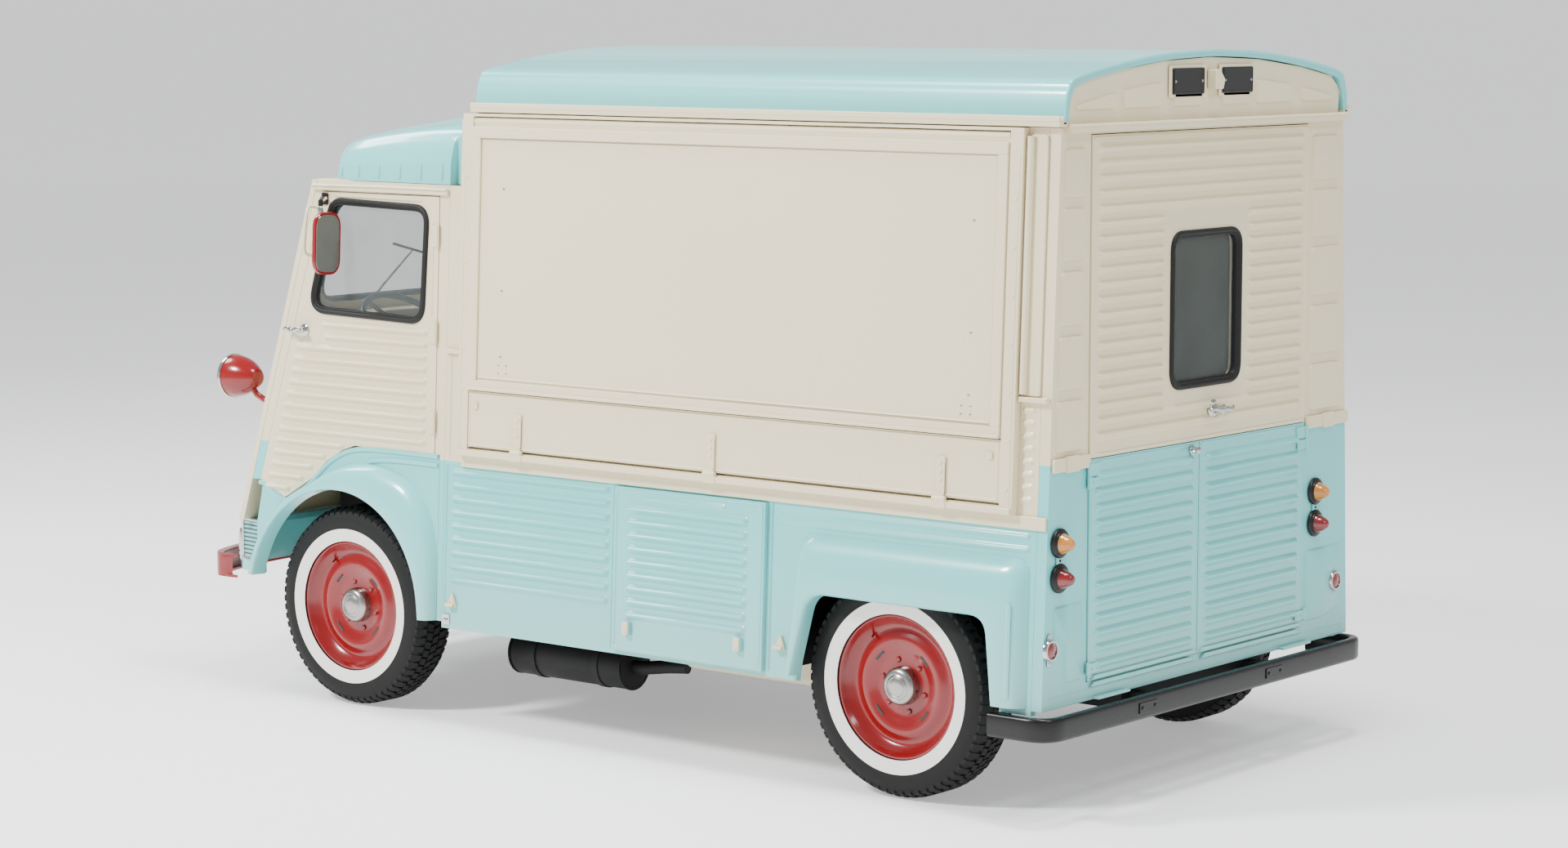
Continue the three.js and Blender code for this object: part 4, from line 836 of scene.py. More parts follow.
class VAN_OT_rear_pressings(bpy.types.Operator):
    """Press the rear frame's columns and gable, and fix the blank plates, reflectors and rails"""

    bl_idname = "van.rear_pressings"
    bl_label = "Rear pressings"

    def execute(self, context):
        self.columns()
        self.gable()
        self.plates()
        self.reflectors()
        self.sill()
        self.belt()
        return {"FINISHED"}

    def columns(self):
        pads = Draft()
        for edge, outer in ((715, 876), (-640, -856)):
            inner = edge + math.copysign(4.4, edge)
            for low, high in ((1168, 1330), (1362, 1530), (1562, 1730), (1762, 1925), (1957, 2110)):
                lean = (high - BODY_BOTTOM) * TUMBLEHOME - 22
                corner = outer - math.copysign(max(0, lean - 14), outer)
                a, b = sorted((inner, corner))
                pads.pad(on_rear, oblong((a, low), (b, high), 20), 9, 6)
        for edge, outer in ((712, 872), (-640, -872)):
            a, b = sorted((edge, outer))
            outline = [(a, 690), (b, 690), (b, 440), ((a + b) / 2, 440), (a, 470)]
            if edge > 0:
                outline = [(a, 690), (b, 690), (b, 600), (b - 60, 570), (b - 60, 440), (a, 440)]
            pads.pad(on_rear, rounded(outline, 18), 7, 8)
        build("rear_column_pads", pads, ["rear enamel"])

    def gable(self):
        top = Draft()
        for low, high in ((-760, -560), (-500, -270), (-230, -60), (60, 230), (300, 520), (560, 780)):
            shape = rounded([
                (low, 2222), (high, 2222), (high, gable(high) - 62), (low, gable(low) - 62),
            ], 18)
            top.pad(on_rear, shape, 9, 6)
        top.tube([on_rear(y, 2176, 24) for y in (-835, 0, 835)], 7, 10)
        build("gable_pads", top, ["cream enamel"])

    def plates(self):
        holders, faces, screws = Draft(), Draft(), Draft()
        for low, high in ((-238, -52), (58, 244)):
            holders.slab(on_rear, oblong((low - 14, 2252), (high + 14, 2356), 8), 3, 9)
            faces.slab(on_rear, oblong((low, 2262), (high, 2346), 6), 8, 14)
            border = oblong((low + 6, 2268), (high - 6, 2340), 4)
            faces.bead(lambda y, z, out: on_rear(y, z, out + 14), border, half=2, height=1.5)
            for y in (low + 14, high - 14):
                screws.dome(on_rear, y, 2304, 5, 3, 14)
        build("plate_holders", holders, ["cream enamel"], bevel=1.0)
        build("blank_plates", faces, ["black plastic"], bevel=0.6)
        build("plate_screws", screws, ["worn chrome"])
        lamp = Draft()
        lamp.slab(on_rear, rounded([(-22, 2276), (26, 2276), (26, 2340), (-2, 2340), (-30, 2308)], 6), 3, 36)
        build("plate_lamp_hood", lamp, ["cream enamel"], bevel=2.0)

    def reflectors(self):
        bases, gems = Draft(), Draft()
        for y, z in ((897, 557), (-830, 561)):
            ears = rounded([(y - 15, z + 10), (y - 8, z + 52), (y + 8, z + 52), (y + 15, z + 10),
                            (y + 15, z - 10), (y + 8, z - 52), (y - 8, z - 52), (y - 15, z - 10)], 8)
            bases.slab(on_rear, ears, 2, 6)
            bases.turned(on_rear(y, z, 4), (-1, 0, 0), [(0, 36), (8, 36), (13, 32), (13, 27), (8, 26)], 28)
            for dz in (-42, 42):
                bases.dome(on_rear, y, z + dz, 4, 3, 6)
            gems.turned(on_rear(y, z, 8), (-1, 0, 0), [(0, 27), (3, 27), (7, 20), (10, 9), (11, 0)], 24)
        build("reflector_bases", bases, ["chrome"])
        build("reflector_gems", gems, ["ruby lens"])

    def sill(self):
        sill = Draft()
        for low, high in ((-606, 30), (66, 676)):
            shape = rounded([(low, 408), (high, 408), (high - 26, 424), (low + 26, 424)], 3)
            sill.slab(on_rear, shape, 0.5, 10)
        for y in (-560, 560):
            sill.slab(on_rear, oblong((y - 90, 368), (y + 90, 376), 3), 0.5, 26)
        sill.bead(on_rear, oblong((-896, 372), (896, 404), 6), half=4, height=2)
        build("rear_sill", sill, ["turquoise enamel"], bevel=1.0)

    def belt(self):
        belt = Draft()
        for a, b in ((690, 888), (-896, -624)):
            belt.slab(on_rear, oblong((a, 1110), (b, 1152), 4), 0.5, 13)
            middle = (a + b) / 2
            belt.slab(on_rear, oblong((middle - 34, 1106), (middle + 34, 1156), 4), 4, 19)
            for y in (a + 24, middle, b - 24):
                belt.dome(on_rear, y, 1132, 6, 4, 13 if abs(y - middle) > 40 else 19)
        build("rear_belt_hinges", belt, ["cream enamel"], bevel=1.0)


class VAN_OT_rear_doors(bpy.types.Operator):
    """Press the ribs of the tailgate and lower doors, and fit the window seal, handle and latch"""

    bl_idname = "van.rear_doors"
    bl_label = "Rear doors"

    def execute(self, context):
        self.tailgate()
        for side, low, high in (("left", 56, 676), ("right", -606, 40)):
            self.leaf(side, low, high)
        for side, y, inward in (("left", 693, -1), ("right", -623, 1)):
            self.hinges(side, y, inward)
        self.handle()
        self.latch()
        return {"FINISHED"}

    def tailgate(self):
        gate = Draft()
        for i in range(20):
            z = 2104 - i * 47.5
            if 1262 < z < 1872:
                gate.rib(on_doors, (-582, z), (-226, z), half=18, height=sizes().rib_height)
                gate.rib(on_doors, (270, z), (654, z), half=18, height=sizes().rib_height)
            else:
                gate.rib(on_doors, (-582, z), (654, z), half=18, height=sizes().rib_height)
        gate.bead(on_doors, oblong((-604, 1146), (674, 2138), 10), half=6, height=3)
        build("tailgate_ribs", gate, ["cream enamel"], "tailgate")
        window_seal("tailgate_seal", on_doors, oblong((-178, 1322), (222, 1812), 55, 8), "tailgate")

    def leaf(self, side, low, high):
        leaf = Draft()
        ladder(leaf, on_doors, low + 24, high - 24, 1076, 478, 13)
        leaf.bead(on_doors, oblong((low + 2, 440), (high - 2, 1124), 10), half=6, height=3)
        flange = rounded([(low, 432), (high, 432), (high - 22, 446), (low + 22, 446)], 3)
        leaf.slab(on_doors, flange, 0.5, 9)
        build("rear_door_ribs_" + side, leaf, ["turquoise enamel"], "rear_door_" + side)

    def hinges(self, side, y, inward):
        hinge = Draft()
        for z in (1060, 470):
            a, b = sorted((y + inward * 60, y))
            hinge.slab(on_doors, oblong((a, z - 16), (b, z + 16), 5), 3, 9)
            hinge.tube([(-619, y, z - 20), (-619, y, z + 20)], 8, 12)
            for k in (22, 46):
                hinge.dome(on_doors, y + inward * k, z, 5, 4, 9, 10)
        build("rear_door_hinges_" + side, hinge, ["turquoise enamel"], "rear_door_" + side,
              bevel=0.8)

    def handle(self):
        y, z = -24, 1233
        grip = Draft()
        grip.turned((-615, y, z), (-1, 0, 0), [
            (0, 30), (4, 31), (8, 26), (10, 15), (30, 12), (36, 15), (44, 17), (49, 12), (50, 0)], 24)
        lever = smooth([(-652, y + 72, z + 4), (-656, y + 50, z + 6), (-655, y + 20, z), (-655, y - 20, z),
                        (-656, y - 48, z - 4), (-650, y - 74, z + 5)], 5)
        radii = [5 + 6 * math.sin(math.pi * i / (len(lever) - 1)) ** 0.6 for i in range(len(lever))]
        grip.tube(lever, radii, 14)
        build("tailgate_grip", grip, ["chrome"], "tailgate_handle", replaces=["tailgate_handle"])

    def latch(self):
        y, z = 96, 1108
        catch = Draft()
        catch.turned((-614, y, z), (-1, 0, 0), [
            (0, 17), (4, 17), (7, 10), (24, 9), (28, 12), (32, 8), (33, 0)], 18)
        arm = smooth([(-636, y, z), (-640, y + 14, z + 2), (-640, y + 24, z), (-637, y + 33, z - 4)], 4)
        catch.tube(arm, [8 - 4 * i / (len(arm) - 1) for i in range(len(arm))], 10)
        build("door_catch", catch, ["chrome"], "rear_door_latch", replaces=["rear_door_latch"])


def window_seal(name, at, outline, body, width=None):
    """A thick rubber seal with a lip, round a window."""
    w = width or sizes().seal_width
    seal = Draft()
    seal.moulding(at, outline, [
        (w * 0.5, -6), (w * 0.5, 3), (w * 0.36, 9), (w * 0.1, 11), (-w * 0.12, 8), (-w * 0.2, 4),
        (-w * 0.34, 5), (-w * 0.5, 1), (-w * 0.5, -18), (w * 0.1, -20),
    ])
    return build(name, seal, ["rubber"], body, sharp=60)


def least(a, b, blend=36.0):
    """The smaller of two heights, with a soft change from one to the other."""
    share = max(blend - abs(a - b), 0) / blend
    return min(a, b) - share * share * blend / 4


def height_on(knots, x):
    """Height of a line of (x, z) knots at an x."""
    for (x0, z0), (x1, z1) in zip(knots, knots[1:]):
        if x0 <= x <= x1:
            return z0 + (z1 - z0) * (x - x0) / (x1 - x0)
    return knots[0][1] if x < knots[0][0] else knots[-1][1]


def spread(low, high, count, gather=1.0):
    """Numbers from low to high, closer together near high when gather is under 1."""
    return [low + (high - low) * (i / (count - 1)) ** gather for i in range(count)]


def domed_roof(draft, section, side_line, stations, thickness):
    """A roof skin from half a cross-section and the line of its top seen from the side."""
    half = smooth(section, 6)
    line = smooth(side_line, 6)
    knots = [(p.x, p.y) for p in line]
    loops = []
    for x in stations:
        limit = height_on(knots, x)
        outer = [(y, least(z, limit)) for y, z in half]
        outer = outer + [(-y, z) for y, z in outer[-2::-1]]
        inner = [(y * (1 - thickness / 860), z - thickness * min(1, (z - section[0][1]) / 60))
                 for y, z in outer[::-1]]
        loops.append([(x, y, z) for y, z in outer + inner])
    draft.loft(loops)


class VAN_OT_roofs(bpy.types.Operator):
    """Shape the raised box roof and the cab roof, with their rails and beads"""

    bl_idname = "van.roofs"
    bl_label = "Roofs"

    def execute(self, context):
        self.box_roof()
        self.box_rails()
        top = [(1874, CAB_ROOF_CREST), (2120, 2192), (2360, 2158), (2530, 2121), (2650, 2075), (2730, 2024),
               (2786, 1970), (2815, 1926), (2824, 1905)]
        plan = [(1870, CAB_ROOF_HALF), (2380, CAB_ROOF_HALF), (2480, 856), (2550, 842), (2618, 800),
                (2694, 690), (2756, 520), (2800, 300), (2826, 0)]
        crest, edge = ([(p.x, p.y) for p in smooth(line, 6)] for line in (top, plan))
        self.cab_roof(crest, edge)
        self.cab_beads(crest, edge)
        self.ledge()
        self.gutters()
        return {"FINISHED"}

    def box_roof(self):
        def crown(y):
            return 2400 - 1.25e-4 * y * y

        section = [(845, 2190), (843, 2225), (838, 2258), (824, crown(824) - 22), (784, crown(784)),
                   (560, crown(560)), (290, crown(290)), (0, 2400)]
        top = [(-700, 2450), (1700, 2450), (1776, 2416), (1820, 2404), (1846, 2390), (1864, 2366),
               (1872, 2330)]
        roof = Draft()
        stations = spread(-619, 1680, 12) + spread(1700, 1871.5, 24, 0.6)
        domed_roof(roof, section, top, stations, 18)
        build("box_roof_skin", roof, ["turquoise enamel"], replaces=["box_roof"],
              sharp=50)
        front = Draft()
        plate = 12
        for x in (1849, 1858):
            limit = height_on([(p.x, p.y) for p in smooth(top, 6)], x + plate)
            half = [
                Vector((y - 3 if y > 3 else 0, max(2193, least(z, limit) - 4)))
                for y, z in smooth(section, 6)
            ]
            front.slab(lambda y, z, out, x=x: Vector((x + out, y, z)),
                       half + [Vector((-p.x, p.y)) for p in half[-2::-1]], 0, plate)
        rim = [(-618, y, least(z, 3000)) for y, z in smooth(section, 5)]
        front.tube(rim + [(x, -y, z) for x, y, z in rim[-2::-1]], 5.5, 8)
        build("box_roof_edges", front, ["turquoise enamel"])

    def box_rails(self):
        rails = Draft()
        for side in SIDES.values():
            at = on_side(side)
            rails.slab(at, oblong((-619, 2174), (1871, 2192), 3), -20, 27)
            rails.slab(at, oblong((-619, 2190), (1871, 2207), 4), 20, 29)
            rails.slab(at, oblong((-619, 2180), (1871, 2206), 4), -12, 8)
        build("box_roof_rails", rails, ["cream enamel"], bevel=1.0)

    def cab_roof(self, crest, edge):
        section = [(wall_y(CAB_EAVES) - 2, CAB_EAVES), (wall_y(1965) - 3, 1965), (wall_y(2010) - 6, 2010),
                   (wall_y(2080) - 28, 2080), (wall_y(2130) - 92, 2130), (500, 2168), (250, 2188), (0, 2196)]
        half = smooth(section, 6)
        roof = Draft()
        loops = []
        for x in spread(1876, 1984, 3) + spread(1989, 2380, 10) + spread(2400, 2820, 34, 0.62):
            lift = (height_on(crest, x) - CAB_EAVES) / (CAB_ROOF_CREST - CAB_EAVES)
            width = height_on(edge, x) / CAB_ROOF_HALF
            inset = 34 if x < BOX_FRONT else 0
            outer = [
                (min(y * width, wall_y(z) - inset), CAB_EAVES + (z - CAB_EAVES) * max(0.01, lift))
                for y, z in half
            ]
            outer = outer + [(-y, z) for y, z in outer[-2::-1]]
            inner = [(y * 0.982, z - 16 * min(1, (z - CAB_EAVES) / 60)) for y, z in outer[::-1]]
            loops.append([(x, y, z) for y, z in outer + inner])
        roof.loft(loops)
        build("cab_roof_skin", roof, ["turquoise enamel"], replaces=["cab_roof"],
              sharp=50)

    def cab_beads(self, crest, edge):
        beads = Draft()
        for x in range(2030, 2560, 105):
            lean = height_on(edge, x) / CAB_ROOF_HALF
            rise = 77 * (height_on(crest, x) - CAB_EAVES) / (CAB_ROOF_CREST - CAB_EAVES)
            for turn in SIDES.values():
                foot = Vector((x, turn * (wall_y(1930) - 1) * lean, 1928))
                head = Vector((x, turn * (wall_y(1995) - 3) * lean, CAB_EAVES + rise))
                beads.tube(smooth([foot, foot.lerp(head, 0.5), head], 3), [2, 5, 6, 6, 6, 5, 2], 8)
        build("cab_roof_beads", beads, ["turquoise enamel"])

    def ledge(self):
        ledge = Draft()
        shape = rounded([(2420, -852), (2680, -852), (2680, 852), (2420, 852)], 12)
        ledge.slab(lambda x, y, out: Vector((x, y, 1905 + out)), shape, 0, 13)
        for side in SIDES.values():
            a, b = sorted((side * 520, side * 838))
            shape = oblong((a, 1940), (b, 2186), 8)
            ledge.slab(lambda y, z, out: Vector((1852 + out, y, z)), shape, 0, 18)
        middle = oblong((-540, 2140), (540, 2194), 4)
        ledge.slab(lambda y, z, out: Vector((1853 + out, y, z)), middle, 0, 16)
        build("cab_ledge", ledge, ["cream enamel"], bevel=1.5)

    def gutters(self):
        gutter = Draft()
        for side in SIDES.values():
            at = on_side(side)
            gutter.slab(at, rounded([(1990, 1880), (2672, 1880), (2668, 1902), (1990, 1902)], 3), 0.5, 14)
            gutter.tube([at(1990, 1899, 16), at(2330, 1900, 16), at(2668, 1896, 16)], 5, 10)
        build("cab_gutters", gutter, ["cream enamel"], bevel=1.0)


# Corners of a cab door's window, by x and height.
DOOR_WINDOW = [(2110, 1430), (2095, 1830), (2574, 1842), (2678, 1444)]


class VAN_OT_cab_doors(bpy.types.Operator):
    """Press the cab doors, and fit their window seals, handles and mirrors"""

    bl_idname = "van.cab_doors"
    bl_label = "Cab doors"

    def execute(self, context):
        for name, side in SIDES.items():
            wall = on_side(side)

            def at(x, z, out):
                return wall(x, z, out + 2)

            self.ribs(name, at)
            self.hinges(name, at)
            window_seal("door_seal_" + name, at, rounded(DOOR_WINDOW, 60, 8), "cab_door_" + name)
            self.handle(name, wall)
            self.mirror(name, wall)
        return {"FINISHED"}

    def ribs(self, name, at):
        foot = [(744, 2800), (786, 2728), (828, 2655), (894, 2584), (942, 2500), (962, 2440)]

        def rear(z):
            if z > 985:
                return 2076
            return height_on(foot, z + 10) + 46

        ribs = Draft()
        for i in range(15):
            z = 1392 - i * 43.6
            low, high = rear(z), front_x(z) - 104
            if i < 2:  # the ribs beside the handle are shorter
                high = 2624 - 14 * i
            if high - low > 60:
                ribs.rib(at, (low, z), (high, z), half=16, height=sizes().rib_height)
        ribs.rib(at, (2120, 1858), (2566, 1861), half=8, height=5)
        ribs.rib(at, (2062, 1450), (2062, 1790), half=8, height=5)
        build("door_ribs_" + name, ribs, ["cream enamel"], "cab_door_" + name)

    def hinges(self, name, at):
        hinges = Draft()
        for z in (1075, 1393, 1735):
            hinges.slab(at, oblong((2037, z - 38), (2062, z + 38), 4), 0, 8)
            hinges.tube([at(2036, z - 40, 8), at(2036, z + 40, 8)], 8, 12)
        build("door_hinges_" + name, hinges, ["cream enamel"], "cab_door_" + name, bevel=1.0)

    def handle(self, name, wall):
        x, z = 2706, 1366
        grip = Draft()
        axis = wall(x, z, 1) - wall(x, z, 0)
        grip.turned(wall(x, z, 4), axis, [(0, 22), (3, 22), (6, 17), (9, 10), (24, 9), (30, 13), (35, 11),
                                          (37, 0)], 20)
        curl = smooth([(x - 20, z - 6), (x - 8, z + 6), (x + 12, z + 2), (x + 34, z - 4), (x + 58, z + 4),
                       (x + 76, z + 2), (x + 83, z - 6)], 5)
        radii = [4 + 5 * math.sin(math.pi * (0.1 + 0.85 * i / (len(curl) - 1))) for i in range(len(curl))]
        grip.tube([wall(p.x, p.y, 34 + 4 * math.sin(i / 5)) for i, p in enumerate(curl)], radii, 12)
        build("door_lever_" + name, grip, ["chrome"], "cab_handle_" + name,
              replaces=["cab_handle_" + name])

    def mirror(self, name, wall):
        def face(u, v, out):
            return wall(2526 - out, 1694 + v, 80 + u)

        shell = Draft()
        outline = oblong((-65, -117), (65, 109), 56, 8)
        layers = [(-30, -13), (-14, -12), (-5, -7), (0, 0), (0, 9), (-3, 12), (-8, 12), (-9, 9)]
        shell.loft([[face(p.x, p.y, h) for p in grown(outline, d)] for d, h in layers])
        build("mirror_shell_" + name, shell, ["red enamel"], "mirror_" + name,
              replaces=["mirror_" + name])
        glass = Draft()
        glass.slab(face, grown(outline, -8), 9, 11.5)
        build("mirror_glass_" + name, glass, ["mirror glass"], "mirror_" + name)
        self.mirror_mount(name, wall, face)

    def mirror_mount(self, name, wall, face):
        clamp = Draft()
        clamp.tube([wall(2560, z, 76) for z in (1799, 1810, 1819)], [10, 10, 7], 14)
        clamp.tube([wall(2560, 1803, 76), wall(2545, 1797, 77), wall(2534, 1789, 78)], 7, 10)
        clamp.dome(lambda u, v, out: face(u, v, -out), 0, 92, 10, 8, 10)
        build("mirror_clamp_" + name, clamp, ["chrome"], "mirror_" + name)
        arm = Draft()
        loop = smooth([wall(2640, 1812, 6), wall(2654, 1818, 40), wall(2646, 1790, 62), wall(2650, 1700, 66),
                       wall(2668, 1652, 46), wall(2680, 1640, 6)], 6)
        arm.tube(loop, 6, 10)
        build("mirror_loop_" + name, arm, ["cream enamel"], "cab_door_" + name)
        bracket = Draft()
        bracket.slab(wall, oblong((2596, 1826), (2628, 1870), 6), 3, 9)
        bracket.tube([wall(2612, 1852, 6), wall(2590, 1850, 40), wall(2560, 1840, 76)], 8, 12)
        bracket.tube([wall(2560, z, 76) for z in (1846, 1823)], 8.5, 12)
        build("mirror_bracket_" + name, bracket, ["black plastic"], "cab_door_" + name,
              bevel=1.0)


def resampled(points, count):
    """Points evenly spaced along a line."""
    pts = [Vector(p) for p in points]
    marks = [0.0]
    for a, b in zip(pts, pts[1:]):
        marks.append(marks[-1] + (b - a).length)
    made, k = [], 0
    for i in range(count):
        want = marks[-1] * i / (count - 1)
        while k < len(pts) - 2 and marks[k + 1] < want:
            k += 1
        share = (want - marks[k]) / max(1e-9, marks[k + 1] - marks[k])
        made.append(pts[k].lerp(pts[k + 1], min(1, share)))
    return made


def arc(centre, radius, start, end, count):
    """Points of an arc from one angle to another."""
    angles = [start + (end - start) * i / (count - 1) for i in range(count)]
    return [(centre[0] + radius * math.cos(t), centre[1] + radius * math.sin(t)) for t in angles]


def corner(a, b, c, radius, steps=7):
    """An arc that rounds the corner b of a line a, b, c."""
    a, b, c = Vector(a), Vector(b), Vector(c)
    p, q = b + (a - b).normalized() * radius, b + (c - b).normalized() * radius
    shares = [i / (steps - 1) for i in range(steps)]
    return [p * (1 - s) ** 2 + b * 2 * s * (1 - s) + q * s * s for s in shares]


def pressed_fender(draft, at, inner, outer, profile):
    """A fender swept round a wheel arch, from its lip to the panel."""
    loops = [
        [at(*(i.lerp(o, share)), out) for i, o in zip(inner, outer)]
        for share, out in profile
    ]
    draft.loft(loops, closed=False, caps=False)


# A fender's section: the share of the way from the arch's lip to the foot, and how far it stands out.
FENDER_PROFILE = [(0.0, -12), (0.0, 20), (0.006, 36), (0.03, 44), (0.09, 47.5), (0.3, 48), (0.55, 46),
                  (0.7, 41), (0.8, 33), (0.88, 22), (0.94, 11), (0.98, 3.5), (1.0, 0.4), (1.0, -3)]


class VAN_OT_fenders(bpy.types.Operator):
    """Shape the front and rear fenders"""

    bl_idname = "van.fenders"
    bl_label = "Fenders"

    def execute(self, context):
        for name, side in SIDES.items():
            self.rear(name, on_side(side))
            self.front(name, on_side(side))
        return {"FINISHED"}

    def rear(self, name, at):
        lip = [(362, 372), (298, 646), (-404, 646), (-440, 372)]
        foot = [(389, 372), (354, 842), (-548, 842), (-548, 372)]

        def path(corners, radius):
            a, b, c, d = [Vector(p) for p in corners]
            first, second = corner(a, b, c, radius), corner(b, c, d, radius)
            return (resampled([a, first[0]], 9)[:-1] + first + resampled([first[-1], second[0]], 16)[1:-1]
                    + second + resampled([second[-1], d], 9)[1:])

        fender = Draft()
        fender.solid = False
        pressed_fender(fender, at, path(lip, 62), path(foot, 58), FENDER_PROFILE)
        fender.solid = True
        build("rear_fender_skin_" + name, fender, ["turquoise enamel"],
              replaces=["rear_fender_" + name], sharp=60)
        crease = Draft()
        crease.rib(lambda x, z, out: at(x, z, out + 46), (-500, 400), (-500, 700), half=10, height=2.5)
        build("rear_fender_crease_" + name, crease, ["turquoise enamel"])

    def front(self, name, at):
        hub = (WHEELBASE, TYRE_RADIUS)
        ahead_lip = arc(hub, ARCH_RADIUS, 0.19, 1.25, 10)
        ahead_foot = arc(hub, ARCH_RADIUS + 36, 0.19, 1.25, 10)
        behind_lip = resampled(arc(hub, ARCH_RADIUS, 1.25, 3.02, 30) + [(2066, 372)], 34)
        crest = smooth([(2647.6, 809), (2590, 846), (2500, 884), (2400, 903), (2290, 899), (2150, 853),
                        (2062, 764), (2020, 640), (2013, 500), (2013, 372)], 6)
        behind_foot = resampled(crest, 34)
        lip = [Vector(p) for p in ahead_lip[:-1]] + behind_lip
        foot = [Vector(p) for p in ahead_foot[:-1]] + behind_foot
        fender = Draft()
        fender.solid = False
        pressed_fender(fender, at, lip, foot, FENDER_PROFILE)
        fender.solid = True
        build("front_fender_skin_" + name, fender, ["turquoise enamel"],
              replaces=["front_fender_" + name], sharp=60)
        skin = Draft()
        arch = resampled(arc(hub, ARCH_RADIUS, 0.19, 3.02, 40), 40)
        line = [(2012, 372), (2066, 372)] + [tuple(p) for p in reversed(arch)]
        top = [(2947, 446), (2947, 644), (2920, 790), (2904, 788), (2800, 732), (2728, 772), (2655, 814),
               (2584, 882), (2500, 930), (2440, 949), (2012, 956)]
        skin.slab(at, rounded(line + top, 0.1), -24, 0)
        curve = smooth([
            (2016, 955), (2200, 957), (2360, 955), (2440, 947), (2500, 929), (2552, 902), (2606, 861),
            (2660, 812), (2712, 776), (2764, 748), (2800, 735), (2850, 756), (2900, 783), (2934, 789),
        ], 5)
        skin.tube([at(p.x, p.y, 0.5) for p in curve], 9, 8)
        shelf = smooth([(2016, 925), (2160, 926), (2290, 922), (2370, 908)], 5)
        skin.tube([at(p.x, p.y, 1) for p in shelf], [8, *[9] * (len(shelf) - 2), 4], 8)
        build("front_fender_panel_" + name, skin, ["turquoise enamel"])


